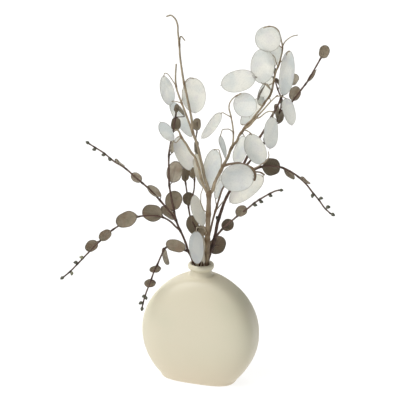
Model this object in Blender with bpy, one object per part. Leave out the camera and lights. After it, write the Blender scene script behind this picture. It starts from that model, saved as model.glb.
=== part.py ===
# Vase of dried honesty: a flattened round ceramic vase that holds two dried stems of
# honesty, with their flat papery pods, and three sprays of round-leaved eucalyptus.
# Metres, +Z up. The origin is the centre of the vase's flat base, and the vase's two
# broad faces look along -Y and +Y.

import math

import bmesh
import bpy
import numpy as np

MM = 0.001

# Vase body: an upright disc with softly rounded edges, cut flat underneath
BODY_HALF_WIDTH = 0.0912
BODY_HALF_HEIGHT = 0.0932
BODY_HALF_DEPTH = 0.0415
BODY_FULLNESS = 3.6
BODY_CENTRE_Z = 0.0754
BODY_WALL = 0.0050
BASE_CORNER = 0.0065
BASE_CORNER_DEG = (0, 35, 65, 90)
FLOOR_Z = 0.0060

# Vase neck and lip, a touch to the right of the body's middle. The neck's outline is
# radius and height, from the shoulder up
NECK_OUTLINE = ((0.0194, 0.1688), (0.0178, 0.1708), (0.0170, 0.1736), (0.0170, 0.1768))
LIP_RADIUS = 0.0200
LIP_MIDDLE_Z = 0.1840
LIP_HALF_HEIGHT = 0.0039
LIP_ANGLES_DEG = (-50, -10, 30, 65, 100, 140, 180)
MOUTH_RADIUS = 0.0138
THROAT_RADIUS = 0.0135
NECK_SHIFT = 0.0011

# How the body is drawn in to the neck: the level where it starts, as a share of the half
# height, how much further up the drawn-in ring is, and how far it has gone to the neck
SHOULDER_LEVEL = 0.95
SHOULDER_RISE = 0.0024
SHOULDER_SQUEEZE = 0.35
INNER_SHOULDER_LEVEL = 0.90
INNER_SHOULDER_RISE = 0.0050
INNER_SHOULDER_SQUEEZE = 0.50

# Where the body's rings lie between its base and its shoulder
OUTSIDE_LEVELS = (0.06, 0.16, 0.28, 0.40, 0.52, 0.64, 0.75, 0.85, 0.93, 1.0)
INSIDE_LEVELS = (1.0, 0.85, 0.65, 0.40, 0.16, 0.0)
FLOOR_CORNER = 0.0030
VASE_SIDES = 32
SHARP_ANGLE_DEG = 50

# The arrangement is laid out as it is seen from its front: each point is a pixel, right
# and down in the 400 x 400 frame of the reference view, and a depth in millimetres
# behind the vase's axis. The eye stands SEEN_DISTANCE from the middle of the view.
SEEN_TURN_DEG = 18.8
SEEN_HEIGHT_DEG = 16.0
SEEN_DISTANCE = 1.6
SEEN_MIDDLE_Z = 0.2872
PIXEL_SIZE = 0.0015
FRAME_MIDDLE = 200.0
AXIS_PIXEL_X = 200.4

# Stems, pods, leaves and buds
STEM_SIDES = 5
STALK_SIDES = 3
POD_SIDES = 11
LEAF_SIDES = 8
BUD_SIDES = 4
POD_THICK_MM = 0.8
LEAF_THICK_MM = 1.0
POD_CUP = 0.05
LEAF_CUP = 0.09
POD_SWELL = 0.05
STALK_MM = 1.4
STALK_TAPER = 0.8
STALK_REACH = 0.7
PETIOLE_REACH = 0.5
PETIOLE_EDGE = 0.94
LEAF_SETBACK = 0.003
BUD_MM = (7.4, 5.6)
BUD_WAIST = 0.2
BUD_ON_STEM = 0.3
RING_OFFSET = 0.31
FOOT_GAP = 0.0006
HOLLOW_POINTS = 9

VASE_CREAM = (0.73, 0.69, 0.57, 1.0)
HONESTY_WHITE = (0.71, 0.71, 0.66, 1.0)
LEAF_TAUPE = (0.20, 0.17, 0.12, 1.0)

# Where each spray stands: millimetres right of the vase's axis and behind it, at its foot
# on the vase's floor and where it passes the mouth
STANDS = {
    "honesty_main": ((6, 8), (9, -2)),
    "honesty_back": ((-14, 16), (4, 10)),
    "eucalyptus_left": ((12, -8), (-9.6, 0)),
    "eucalyptus_middle": ((14, -14), (-1, 4)),
    "eucalyptus_right": ((-8, 6), (9.5, 5.5)),
}

# Stems: name, what it grows from, depth at its tip, thickness at its root and its tip in
# millimetres, and its route. The first of each spray stands in the vase.
HONESTY_MAIN_STEMS = (
    ("trunk", None, -4, 7.2, 6.6, (
        (207.6, 250), (207.6, 240), (208, 225), (208.7, 210), (209, 198), (209, 191))),
    ("limb_a", "trunk", 12, 4.7, 2.2, (
        (209, 192), (207.3, 186), (205, 179), (202, 165), (200, 157), (198, 148), (195.6, 140),
        (192.6, 132), (191.8, 121), (188.9, 106), (186, 92), (183.4, 80), (181.4, 67), (180, 56),
        (179.3, 44), (178, 32.5), (177.4, 24), (175.3, 19), (170.7, 15.3), (166.5, 16.5))),
    ("limb_a_loop", "limb_a", 16, 2.0, 1.6, ((179.2, 44), (181, 36.4), (185, 40.6))),
    ("limb_b", "limb_a", 44, 3.0, 2.2, (
        (191.9, 131.8), (186.8, 116.5), (182, 103.7), (179, 96), (176.5, 88), (175.6, 80),
        (175.7, 73), (176.3, 64))),
    ("limb_b_twig", "limb_b", 24, 1.6, 1.3, ((181.7, 103.4), (182.3, 97), (182.4, 90))),
    ("limb_c", "trunk", -18, 4.3, 2.4, (
        (208.6, 195), (206, 190), (202, 180.6), (198.3, 166.5), (194.4, 156.5), (191, 152), (186.8, 145),
        (181.4, 137), (177.2, 130), (175, 130))),
    ("limb_d", "trunk", 14, 5.0, 2.0, (
        (209.4, 194), (212.6, 190.5), (214.4, 184), (217, 178), (220.3, 172), (223.7, 165),
        (228, 157), (230.6, 150), (233.4, 145), (237, 141), (239, 136), (242.5, 131.3),
        (246.4, 125.6), (251.3, 120.6), (256, 114.5), (261.3, 108), (265.5, 101.5), (270, 95.6),
        (272, 90), (273.8, 81), (276, 71.5), (279.3, 63.6), (280.8, 57.8), (282.4, 50), (282.5, 45))),
    ("limb_d_crook", "limb_d", 4, 2.0, 1.6, (
        (282.5, 46), (281.4, 41), (280, 35), (278, 30), (273, 26.8), (268.4, 26.5), (263.5, 28))),
    ("limb_d_tip", "limb_d", 20, 1.8, 1.4, (
        (282.5, 46), (284.8, 42), (288.3, 38.7), (292, 36.4), (297.8, 35))),
    ("limb_d_spur", "limb_d", 22, 1.6, 1.3, ((281.8, 48), (279, 45.2), (276.8, 43.7))),
    ("limb_d_hook", "limb_d", 2, 1.6, 1.3, ((277.6, 67), (275.6, 61), (274.5, 57), (272.6, 54.8))),
    ("side_up", "limb_d", -36, 2.6, 1.6, (
        (231.4, 148), (233, 142), (233.3, 132), (232.4, 124), (230.6, 115), (229, 107), (229.6, 103.4),
        (232, 99.4), (236, 96), (241, 93.8))),
    ("side_two", "limb_d", -14, 3.2, 1.5, (
        (245.2, 128.6), (248.6, 126.2), (253.2, 121.4), (257.2, 116.4), (262.2, 111.2), (266.2, 106.6),
        (270.7, 101.6), (274, 98.4), (277.8, 95.2))),
    ("side_three", "side_two", -34, 2.2, 1.5, (
        (255.6, 118.4), (258.4, 118), (261.2, 116.2), (265.2, 113), (269.2, 111.4), (272.8, 111.7))),
    ("side_link", "limb_d", 2, 1.5, 1.3, ((268.6, 96.8), (270, 99), (270.6, 101.4))),
    ("side_four", "limb_d", -12, 2.0, 1.4, (
        (243.4, 130), (246.6, 130.6), (249.6, 132.4), (251.6, 135))),
    ("arch", "limb_d", -34, 3.4, 4.4, (
        (223.4, 166), (229, 164.2), (233, 163.6), (238.3, 163.3), (243.2, 164.5), (247.8, 166),
        (252.4, 169), (254.7, 172.5), (255, 176.4), (253.6, 180))),
    ("arch_twig", "arch", -40, 1.8, 1.3, (
        (252.4, 169), (257, 167), (262, 164), (266.4, 160.8), (268.8, 156.8), (268.4, 151.6))),
)

HONESTY_BACK_STEMS = (
    ("back_stem", None, 16, 3.6, 2.0, (
        (206.4, 246), (209.4, 235), (211.4, 226), (213.2, 218.5), (215.7, 210), (219.3, 198), (223, 188),
        (229, 181), (238, 175.6), (248, 172.6), (256, 171.8), (261, 172.6), (264, 174.6))),
    ("back_twig", "back_stem", 11, 1.8, 1.4, ((215.4, 211), (219, 206.6), (221.8, 203), (224.4, 200))),
)

EUCALYPTUS_LEFT_STEMS = (
    ("left_main", None, -2, 3.8, 2.2, (
        (190.6, 255.5), (188, 250.6), (186, 244), (183, 236.4), (179, 228), (176, 220), (173.4, 207.7),
        (170.8, 195), (169.2, 184), (168.8, 169), (169.2, 152), (170.9, 141.7), (173, 131), (175.3, 119),
        (176.4, 110))),
    ("left_up", "left_main", 46, 3.2, 2.1, (
        (176.4, 221), (173, 216), (164.4, 205.4), (155.8, 195.7), (147, 187), (136.3, 178), (125.4, 168.4),
        (114, 161.3), (103, 152.4), (94.4, 147), (88.6, 143.4))),
    ("left_across", "left_main", -64, 3.0, 2.1, (
        (180, 230), (176, 227), (171, 222), (161.8, 217), (150, 215.6), (138, 216.8), (126, 222),
        (113.8, 229), (100.4, 240.6), (89.5, 251.5), (77.4, 264), (70, 271.6), (63, 277.4))),
    ("left_down", "left_main", -26, 3.0, 2.1, (
        (188.4, 251.4), (184.7, 250), (175, 246.4), (165.8, 247.7), (161.4, 255.4), (157.7, 263.8),
        (154.3, 271), (150.3, 282.4), (146.8, 291), (143.9, 300), (142, 308))),
)

EUCALYPTUS_MIDDLE_STEMS = (
    ("middle_main", None, 24, 3.0, 2.2, (
        (202, 250), (199.8, 239), (195.6, 228), (191, 219), (188.8, 209), (188, 199), (186.6, 190),
        (185.4, 181), (184, 170))),
    ("middle_twin", "middle_main", 40, 2.6, 1.8, (
        (188.6, 206), (191.4, 199), (193.8, 191), (194.6, 180), (195.2, 168), (196.2, 154), (195.4, 142),
        (197, 131), (197, 122))),
    ("middle_spur", "middle_main", 4.2, 1.8, 1.4, ((201.4, 246), (203.6, 250), (205.6, 254.6))),
)

EUCALYPTUS_RIGHT_STEMS = (
    ("right_main", None, 52, 5.2, 3.0, (
        (211.4, 249), (214.2, 240.5), (215.8, 232), (218, 221), (221.3, 211), (225.4, 199.6), (231, 189),
        (237.4, 177), (243.6, 164.6), (246.4, 158.6), (250.4, 151), (255, 144), (260.6, 136), (266, 127.4),
        (270.8, 118.4), (274.4, 111.6), (277.6, 105.6), (280.2, 100.6), (281.4, 96.6))),
    ("right_twin", "right_main", 61, 3.5, 2.5, (
        (242.6, 167), (247, 164.4), (250.4, 160.6), (255.4, 154.6), (262, 146), (268, 137), (274, 127),
        (279, 116), (280.6, 109), (282, 99))),
    ("right_top_left", "right_main", 40, 2.4, 1.7, (
        (281, 97.4), (278.8, 92), (276.4, 85), (274.7, 78), (274.4, 68), (275, 59))),
    ("right_top_right", "right_main", 64, 2.8, 1.8, (
        (281.4, 98), (284.4, 92.6), (287.4, 87.2), (290, 83.4), (292.6, 79.6))),
    ("right_top_out", "right_twin", 30, 3.0, 2.2, (
        (280, 112), (286, 107), (292, 101.5), (297, 95.5), (301, 90), (307.8, 81), (312.6, 72.6), (318, 63.2),
        (323.6, 53))),
    ("right_arch", "right_main", -30, 3.4, 2.1, (
        (237.4, 177), (245.4, 172.6), (253.4, 170), (262.6, 166.4), (271.5, 166), (281, 167.3),
        (290.2, 171.3), (298.5, 177), (306.3, 184.4), (313, 193), (318.9, 200), (324.6, 208),
        (330.4, 213.6))),
    ("right_low", "right_main", -48, 3.2, 2.2, (
        (214.6, 238.6), (218.6, 233.4), (224, 227.4), (231.5, 221), (240, 214), (247, 209),
        (255, 202.5), (262, 198), (270, 193.5), (276, 190.8), (280, 190))),
    ("right_shade", "right_main", 18, 2.0, 1.6, ((212.6, 246), (215.4, 245.4), (219, 245.2))),
)

# Pods: the stem it hangs from, its middle, how far it stands behind that stem, its length
# and width in millimetres, its lean (its top goes right), its turn (its right edge goes
# back), which end its stalk meets, and the stalk's way from the stem
HONESTY_MAIN_PODS = (
    ("limb_a", (194, 95.4), 9, 52, 37, -3, 8, "top", ((184.6, 84), (186.6, 80), (189.6, 77.8))),
    ("limb_b", (167, 90.5), 4, 45, 34, -12, 53, "top", ((175.7, 86), (171, 78), (167.5, 73.6), (164.4, 73))),
    ("limb_b", (181.2, 119), 12, 61, 30, -30, 48, "top", ((181.7, 103.4), (178.4, 102), (174, 101))),
    ("limb_c", (166.6, 131.8), -5, 33, 26, -34, 46, "foot", ((181, 137), (176, 143))),
    ("limb_c", (183.6, 153.6), 7, 53, 34, -21, 45, "top", ((181.4, 137), (179.4, 136))),
    ("trunk", (198.2, 210.6), -8, 48, 34, -17, 57, "foot", ((207.8, 240), (206.4, 233))),
    ("trunk", (199.4, 170.4), 9, 52, 28, -12, 58, "foot", (
        (208, 214), (203.4, 210), (200.7, 203), (200.8, 194))),
    ("trunk", (196.6, 247.6), -15, 49, 34, -2, -46, "top", ((207.6, 233), (202, 227.4), (196.6, 227))),
    ("trunk", (203.6, 250), -3, 42, 22, -2, 66, "top", ((207.6, 240), (206, 234))),
    ("limb_d_crook", (268, 39), -1, 38, 40, 4, 8, "top", ((269.4, 26.6), (267.4, 26.2))),
    ("limb_d", (262.6, 66), -13, 51, 37, 4, 6, "foot", ((273.4, 83), (268, 85.6))),
    ("limb_d", (261.4, 91.6), -3, 28, 14, 27, 80, "top", ((271.6, 91.4), (268, 84.6))),
    ("limb_d_spur", (274, 54), 3, 33, 30, 4, 34, "top", ((277.6, 44.2), (275.4, 42.6))),
    ("limb_d", (238.4, 81), -20, 51, 33, 76, 6, "top", ((271.4, 91), (266, 85), (260, 79))),
    ("limb_d", (286.8, 73), -6, 66, 36, 8, 47, "top", ((279.6, 63), (284.4, 58.6), (287.4, 52.4))),
    ("side_up", (245, 105), -2, 36, 35, -20, 6, "top", ((236.8, 95.6), (240.6, 93.4))),
    ("limb_d", (265.6, 91.2), 15, 46, 33, 25, 56, "foot", ((264.4, 103), (262.6, 105.6))),
    ("limb_d", (252, 110.8), 12, 53, 30, 39, 52, "foot", ((247.4, 124.4), (244, 125))),
    ("side_three", (271.2, 132.7), -2, 46, 33, 5, 45, "top", ((272.6, 111.4), (273.6, 114.4))),
    ("side_up", (211.8, 125.8), -4, 46, 30, 37, 62, "top", ((231, 117), (227, 115), (222.6, 112.4))),
    ("side_up", (223, 147), -2, 34, 28, -14, 72, "top", ((233, 132.4), (229, 129), (222.4, 129.4))),
    ("side_two", (289, 111.6), -2, 40, 29, -13, 44, "top", ((276.4, 96.6), (281.6, 96))),
    ("side_four", (255.4, 149), -2, 48, 34, -24, 20, "top", ((250.6, 133.4), (251.8, 134))),
    ("limb_d", (240.5, 150), 6, 44, 33, 16, 52, "top", ((241.4, 133), (243.6, 134.4))),
    ("limb_d", (212.6, 169), 8, 60, 34, 5, 33, "top", ((220.6, 171.4), (221.6, 160), (219, 149.6))),
    ("arch", (237.6, 177.8), -2, 49, 43, 82, 6, "top", ((254, 179), (254, 178))),
)

HONESTY_BACK_PODS = (
    ("back_stem", (246.5, 189), -2, 64, 30, 52, 12, "top", ((262, 173), (265, 174.4))),
    ("back_stem", (219.6, 186), 6, 41, 27, 17, 64, "foot", ((216.8, 206), (215.6, 201))),
)

# Leaves: the stem it grows from, its middle, how far it stands behind that stem, its
# length and width in millimetres, its lean and its turn
EUCALYPTUS_LEFT_LEAVES = (
    ("left_main", (173.6, 200.6), 3, 30, 27, 20, 10),
    ("left_main", (174.6, 172), 5, 33, 25, 14, 10),
    ("left_main", (172.8, 146.4), 4, 21, 18, 8, 62),
    ("left_main", (175.8, 124.2), 3, 20, 17, 4, 25),
    ("left_main", (176.6, 108.4), -3, 12, 10, 6, 40),
    ("left_main", (180.8, 110.4), 2, 22, 12, -33, 67),
    ("left_up", (168, 213), 4, 28, 20, -46, 52),
    ("left_up", (154.4, 191.2), 3, 26, 21, -52, 54),
    ("left_up", (136.5, 177.6), 3, 19, 15, -50, 14),
    ("left_up", (119.8, 163.2), 3, 19, 16, -50, 74),
    ("left_across", (152.4, 213), 3, 31, 27, 100, 10),
    ("left_across", (126.5, 219.4), -4, 33, 24, 66, 8),
    ("left_across", (105.2, 235.2), -4, 21, 16, 50, 14),
    ("left_across", (91.6, 245.8), 3, 21, 17, 52, 10),
    ("left_down", (175.8, 245.8), -5, 31, 20, 106, 10),
    ("left_down", (165.4, 256.4), 4, 27, 20, -16, 66),
    ("left_down", (155.3, 269.2), 3, 18, 11.5, 80, 12),
    ("left_down", (150.1, 283.2), 3, 18, 13.5, 84, 10),
)

EUCALYPTUS_MIDDLE_LEAVES = (
    ("middle_main", (185.6, 173.6), -2, 24, 20, 8, 52),
    ("middle_main", (188.4, 198.6), -3, 20, 19, 10, 20),
    ("middle_main", (192.6, 224.8), -4, 29, 25, -8, 40),
    ("middle_main", (200.4, 231.8), 3, 21, 19, 30, 20),
    ("middle_twin", (192.8, 172.8), -3, 17, 12, 4, 20),
    ("middle_twin", (196.9, 124.4), -2, 19, 16, 4, 32),
    ("middle_twin", (196.4, 147.2), -2, 19, 14, 2, 58),
)

EUCALYPTUS_RIGHT_LEAVES = (
    ("right_shade", (217.4, 245.2), 3, 30, 27, 30, 16),
    ("right_low", (227.6, 225), 3, 20, 19, 50, 10),
    ("right_low", (241.2, 211), -3, 19, 17, 52, 12),
    ("right_arch", (271.3, 166.9), 3, 27, 28, 80, 10),
    ("right_arch", (289.2, 174), 3, 22, 16, -48, 54),
    ("right_arch", (305.2, 180.4), -3, 18, 15, -56, 66),
    ("right_main", (277.2, 111.6), 4, 24, 16, -8, 50),
    ("right_main", (281, 117), 5, 22, 16, 22, 55),
    ("right_top_left", (278.3, 82), 2, 14, 10, -28, 50),
    ("right_top_right", (294.2, 79.6), -3, 18, 16, 30, 30),
    ("right_top_right", (290, 80), 3, 13, 10, 15, 46),
    ("right_top_out", (294.9, 93.6), 4, 23, 18.5, 20, 10),
    ("right_top_out", (311.6, 76), 3, 25, 14, 38, 68),
    ("right_top_out", (324.2, 51.8), -2, 20, 17, 20, 10),
    ("right_twin", (266.5, 137.5), 3, 14, 12, 34, 40),
)

# Buds: the stem it sits on, and its middle
EUCALYPTUS_LEFT_BUDS = (
    ("left_up", (87.5, 142.6)), ("left_up", (94.2, 149.4)), ("left_up", (103.4, 154.8)),
    ("left_up", (109.8, 159.3)), ("left_across", (62, 278)), ("left_across", (81.4, 257.2)),
    ("left_across", (75.6, 262.4)), ("left_across", (71.8, 273.5)), ("left_down", (142, 309)),
    ("left_down", (143.6, 296.2)), ("left_down", (146, 298)), ("left_down", (140.6, 303)),
)
EUCALYPTUS_MIDDLE_BUDS = (
    ("middle_main", (182.8, 165.4)), ("middle_twin", (198, 154)), ("middle_spur", (205.6, 255)),
)
EUCALYPTUS_RIGHT_BUDS = (
    ("right_main", (217.3, 218)), ("right_arch", (333, 214.6)), ("right_arch", (312.4, 195.8)),
    ("right_arch", (321.2, 198.2)), ("right_arch", (328.2, 207)), ("right_low", (281.4, 190.2)),
    ("right_low", (270.6, 195.6)), ("right_low", (261.3, 201.7)), ("right_low", (255.2, 205)),
    ("right_top_left", (274, 65.4)), ("right_top_left", (275.2, 70)), ("right_top_left", (273.4, 78)),
    ("right_top_left", (275.2, 58)), ("right_twin", (281.4, 102)),
)


def view_axes():
    # The reference view's right, up, towards-the-eye and level backwards directions
    turn = math.radians(SEEN_TURN_DEG)
    height = math.radians(SEEN_HEIGHT_DEG)
    right = np.array((math.cos(turn), math.sin(turn), 0.0))
    backwards = np.array((-math.sin(turn), math.cos(turn), 0.0))
    towards = np.array((0.0, 0.0, math.sin(height))) - backwards * math.cos(height)
    return right, np.cross(towards, right), towards, backwards


RIGHT, UP, TOWARDS, BACKWARDS = view_axes()
EYE = np.array((0.0, 0.0, SEEN_MIDDLE_Z)) + TOWARDS * SEEN_DISTANCE


def spot(pixel, depth_mm):
    # The point that a pixel shows, depth_mm behind the vase's axis: the eye's ray through
    # the pixel, followed until it is that far back
    across = (pixel[0] - AXIS_PIXEL_X) * PIXEL_SIZE / SEEN_DISTANCE
    rise = (FRAME_MIDDLE - pixel[1]) * PIXEL_SIZE / SEEN_DISTANCE
    ray = RIGHT * across + UP * rise - TOWARDS
    reach = (depth_mm * MM - EYE @ BACKWARDS) / (ray @ BACKWARDS)
    return EYE + ray * reach


def beside_axis(across_mm, depth_mm, z):
    place = RIGHT * across_mm * MM + BACKWARDS * depth_mm * MM
    return np.array((place[0], place[1], z))


def finish(name, colour, roughness=0.75):
    material = bpy.data.materials.new(name)
    material.use_nodes = True
    shader = material.node_tree.nodes["Principled BSDF"]
    shader.inputs["Base Color"].default_value = colour
    shader.inputs["Roughness"].default_value = roughness
    shader.inputs["Metallic"].default_value = 0.0
    return material


def make_object(name, verts, faces, colour=None):
    mesh = bpy.data.meshes.new(name)
    mesh.from_pydata([tuple(v) for v in verts], [], faces)
    mesh.update()
    made = bpy.data.objects.new(name, mesh)
    bpy.context.scene.collection.objects.link(made)
    if colour is not None:
        mesh.materials.append(finish(name, colour))
    return made


def joined_rings(rings):
    # A closed skin over a pile of equal rings, with a fan of triangles over each end
    count = len(rings[0])
    verts = [v for ring in rings for v in ring]
    faces = []
    for low in range(len(rings) - 1):
        for i in range(count):
            j = (i + 1) % count
            a, b = low * count + i, low * count + j
            faces.append((a, b, b + count, a + count))
    for ring, flip in ((0, True), (len(rings) - 1, False)):
        centre = len(verts)
        verts.append(np.mean(rings[ring], axis=0))
        for i in range(count):
            j = (i + 1) % count
            a, b = ring * count + i, ring * count + j
            faces.append((b, a, centre) if flip else (a, b, centre))
    return verts, faces


def body_half_depth(from_centre):
    # The body is thickest in the middle and rounds off to nothing at its rim
    return (max(1.0 - from_centre ** BODY_FULLNESS, 0.0)) ** (1.0 / BODY_FULLNESS)


def body_ring(z, inset, squeeze, neck=0.0):
    # One level outline of the body, moved in by inset, and squeezed towards a circle of
    # the neck's radius as squeeze goes from 0 to 1
    half_width = BODY_HALF_WIDTH - inset
    half_depth = BODY_HALF_DEPTH - inset
    level = abs(z - BODY_CENTRE_Z) / (BODY_HALF_HEIGHT - inset)
    reach = math.sqrt(1.0 - level ** 2)
    ring = []
    for step in range(VASE_SIDES):
        angle = 2 * math.pi * step / VASE_SIDES
        out = reach * math.cos(angle)
        deep = body_half_depth(math.hypot(out, level))
        x = half_width * out
        y = half_depth * math.copysign(deep, math.sin(angle))
        round_x, round_y = NECK_SHIFT + neck * math.cos(angle), neck * math.sin(angle)
        ring.append((x + (round_x - x) * squeeze, y + (round_y - y) * squeeze, z))
    return ring


def level_ring(radius, z):
    # A circle of the neck or the lip
    angles = [2 * math.pi * step / VASE_SIDES for step in range(VASE_SIDES)]
    return [(NECK_SHIFT + radius * math.cos(a), radius * math.sin(a), z) for a in angles]


def shrunk(ring, by, z):
    # The same ring drawn in towards its middle, at another level
    out = []
    for x, y, _ in ring:
        size = math.hypot(x, y)
        out.append((x * (size - by) / size, y * (size - by) / size, z))
    return out


def build_vase():
    # One skin from the base up the outside, over the lip and down the inside to the floor
    foot = body_ring(BASE_CORNER, 0.0, 0.0)
    rings = []
    for angle in np.radians(BASE_CORNER_DEG):
        inwards = BASE_CORNER * (1.0 - math.sin(angle))
        rings.append(shrunk(foot, inwards, BASE_CORNER * (1.0 - math.cos(angle))))
    shoulder = BODY_CENTRE_Z + SHOULDER_LEVEL * BODY_HALF_HEIGHT
    for part in OUTSIDE_LEVELS:
        rings.append(body_ring(BASE_CORNER + (shoulder - BASE_CORNER) * part, 0.0, 0.0))
    rings.append(body_ring(shoulder + SHOULDER_RISE, 0.0, SHOULDER_SQUEEZE, NECK_OUTLINE[0][0]))
    rings += [level_ring(radius, z) for radius, z in NECK_OUTLINE]
    lip_middle = (LIP_RADIUS + MOUTH_RADIUS) / 2
    for angle in np.radians(LIP_ANGLES_DEG):
        radius = lip_middle + (LIP_RADIUS - lip_middle) * math.cos(angle)
        rings.append(level_ring(radius, LIP_MIDDLE_Z + LIP_HALF_HEIGHT * math.sin(angle)))
    rings.append(level_ring(THROAT_RADIUS, NECK_OUTLINE[-1][1]))
    rings.append(level_ring(THROAT_RADIUS, NECK_OUTLINE[0][1]))
    inner_shoulder = BODY_CENTRE_Z + INNER_SHOULDER_LEVEL * (BODY_HALF_HEIGHT - BODY_WALL)
    inner_neck_z = inner_shoulder + INNER_SHOULDER_RISE
    rings.append(body_ring(inner_neck_z, BODY_WALL, INNER_SHOULDER_SQUEEZE, THROAT_RADIUS))
    inner_foot = FLOOR_Z + FLOOR_CORNER
    for part in INSIDE_LEVELS:
        rings.append(body_ring(inner_foot + (inner_shoulder - inner_foot) * part, BODY_WALL, 0.0))
    rings.append(shrunk(rings[-1], FLOOR_CORNER, FLOOR_Z))
    verts, faces = joined_rings(rings)
    vase = make_object("vase", verts, faces, VASE_CREAM)
    vase.data.shade_smooth()
    vase.data.set_sharp_from_angle(angle=math.radians(SHARP_ANGLE_DEG))


def round_point(middle, side, up, angle, radius):
    return middle + (side * math.cos(angle) + up * math.sin(angle)) * radius


def tube(route, start_mm, end_mm, sides):
    # A tapering rod along a route: each ring stands square to the way it runs
    route = np.array(route)
    run = np.gradient(route, axis=0)
    run /= np.linalg.norm(run, axis=1)[:, None]
    side = np.cross(run[0], TOWARDS)
    side /= np.linalg.norm(side)
    radii = np.linspace(start_mm, end_mm, len(route)) * MM / 2
    angles = 2 * math.pi * (np.arange(sides) + RING_OFFSET) / sides
    rings = []
    for point, along, radius in zip(route, run, radii):
        side = side - along * (side @ along)
        side /= np.linalg.norm(side)
        up = np.cross(along, side)
        rings.append([round_point(point, side, up, angle, radius) for angle in angles])
    return joined_rings(rings)


def blade_axes(lean_deg, turn_deg):
    # A blade's long axis, its side and its face, leaned and turned from facing the eye
    lean, turn = math.radians(lean_deg), math.radians(turn_deg)
    along = UP * math.cos(lean) + RIGHT * math.sin(lean)
    flat = RIGHT * math.cos(lean) - UP * math.sin(lean)
    side = flat * math.cos(turn) - TOWARDS * math.sin(turn)
    return along, side, TOWARDS * math.cos(turn) + flat * math.sin(turn)


def blade(middle, length_mm, width_mm, lean_deg, turn_deg, sides, thick_mm, cup):
    # A thin oval plate, a little cupped: its middle stands back from its edge
    along, side, face = blade_axes(lean_deg, turn_deg)
    edge = []
    for angle in 2 * math.pi * np.arange(sides) / sides:
        out = math.sin(angle) * (1.0 + POD_SWELL * math.cos(2 * angle))
        edge.append(middle + along * math.cos(angle) * length_mm * MM / 2 + side * out * width_mm * MM / 2)
    half = face * thick_mm * MM / 2
    verts, faces = joined_rings([[p + half for p in edge], [p - half for p in edge]])
    verts[-1] = verts[-1] - face * cup * width_mm * MM
    verts[-2] = verts[-2] - face * cup * width_mm * MM
    return verts, faces


def on_rib(middle, length_mm, width_mm, lean_deg, turn_deg, cup, reach):
    # A point in the blade's thickness on its long axis: reach 1 and -1 are its two ends
    along, _, face = blade_axes(lean_deg, turn_deg)
    sunk = face * cup * width_mm * MM * (1 - abs(reach))
    return middle + along * reach * length_mm * MM / 2 - sunk


def bud(middle, along):
    # A small pointed egg lying along its stem
    side = np.cross(along, TOWARDS)
    side /= np.linalg.norm(side)
    up = np.cross(along, side)
    length, width = BUD_MM[0] * MM, BUD_MM[1] * MM
    angles = 2 * math.pi * np.arange(BUD_SIDES) / BUD_SIDES
    rings = []
    for reach in (-BUD_WAIST, BUD_WAIST):
        rings.append([round_point(middle + along * reach * length, side, up, angle, width / 2)
                      for angle in angles])
    verts, faces = joined_rings(rings)
    verts[-2] = middle - along * 0.5 * length
    verts[-1] = middle + along * 0.5 * length
    return verts, faces


def nearest(route, pixel):
    # The place along a stem that is seen nearest to a pixel: its point, its depth and the
    # way the stem runs there
    flat = np.array(route["pixels"], dtype=float)
    best = None
    for i in range(len(flat) - 1):
        leg = flat[i + 1] - flat[i]
        part = min(max((np.array(pixel) - flat[i]) @ leg / (leg @ leg), 0.0), 1.0)
        gap = np.linalg.norm(flat[i] + leg * part - pixel)
        if best is None or gap < best[0]:
            best = (gap, i, part)
    _, i, part = best
    depth = route["depths"][i] + (route["depths"][i + 1] - route["depths"][i]) * part
    way = spot(flat[i + 1], route["depths"][i + 1]) - spot(flat[i], route["depths"][i])
    return spot(flat[i] + (flat[i + 1] - flat[i]) * part, depth), depth, way / np.linalg.norm(way)


def nearest_point(points, place):
    # The point of a stem's middle line that is nearest to a place
    points = np.array(points)
    legs = np.diff(points, axis=0)
    parts = np.clip(((place - points[:-1]) * legs).sum(axis=1) / (legs * legs).sum(axis=1), 0.0, 1.0)
    spots = points[:-1] + legs * parts[:, None]
    return spots[np.linalg.norm(spots - place, axis=1).argmin()]


def stem_routes(spray, stems):
    # Each stem's pixels and depths: the depth runs evenly from where it grows to its tip
    routes = {}
    foot, mouth = STANDS[spray]
    for name, grows_from, tip_depth, _, _, pixels in stems:
        if grows_from is None:
            root_depth = mouth[1]
        else:
            root_depth = nearest(routes[grows_from], pixels[0])[1]
        flat = np.array(pixels, dtype=float)
        run = np.concatenate(([0.0], np.cumsum(np.linalg.norm(np.diff(flat, axis=0), axis=1))))
        depths = root_depth + (tip_depth - root_depth) * run / run[-1]
        points = [spot(p, d) for p, d in zip(pixels, depths)]
        if grows_from is None:
            points.insert(0, beside_axis(*mouth, LIP_MIDDLE_Z))
            points.insert(0, beside_axis(*foot, FLOOR_Z + FOOT_GAP))
        routes[name] = {"pixels": pixels, "depths": depths, "points": points}
    return routes


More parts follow.
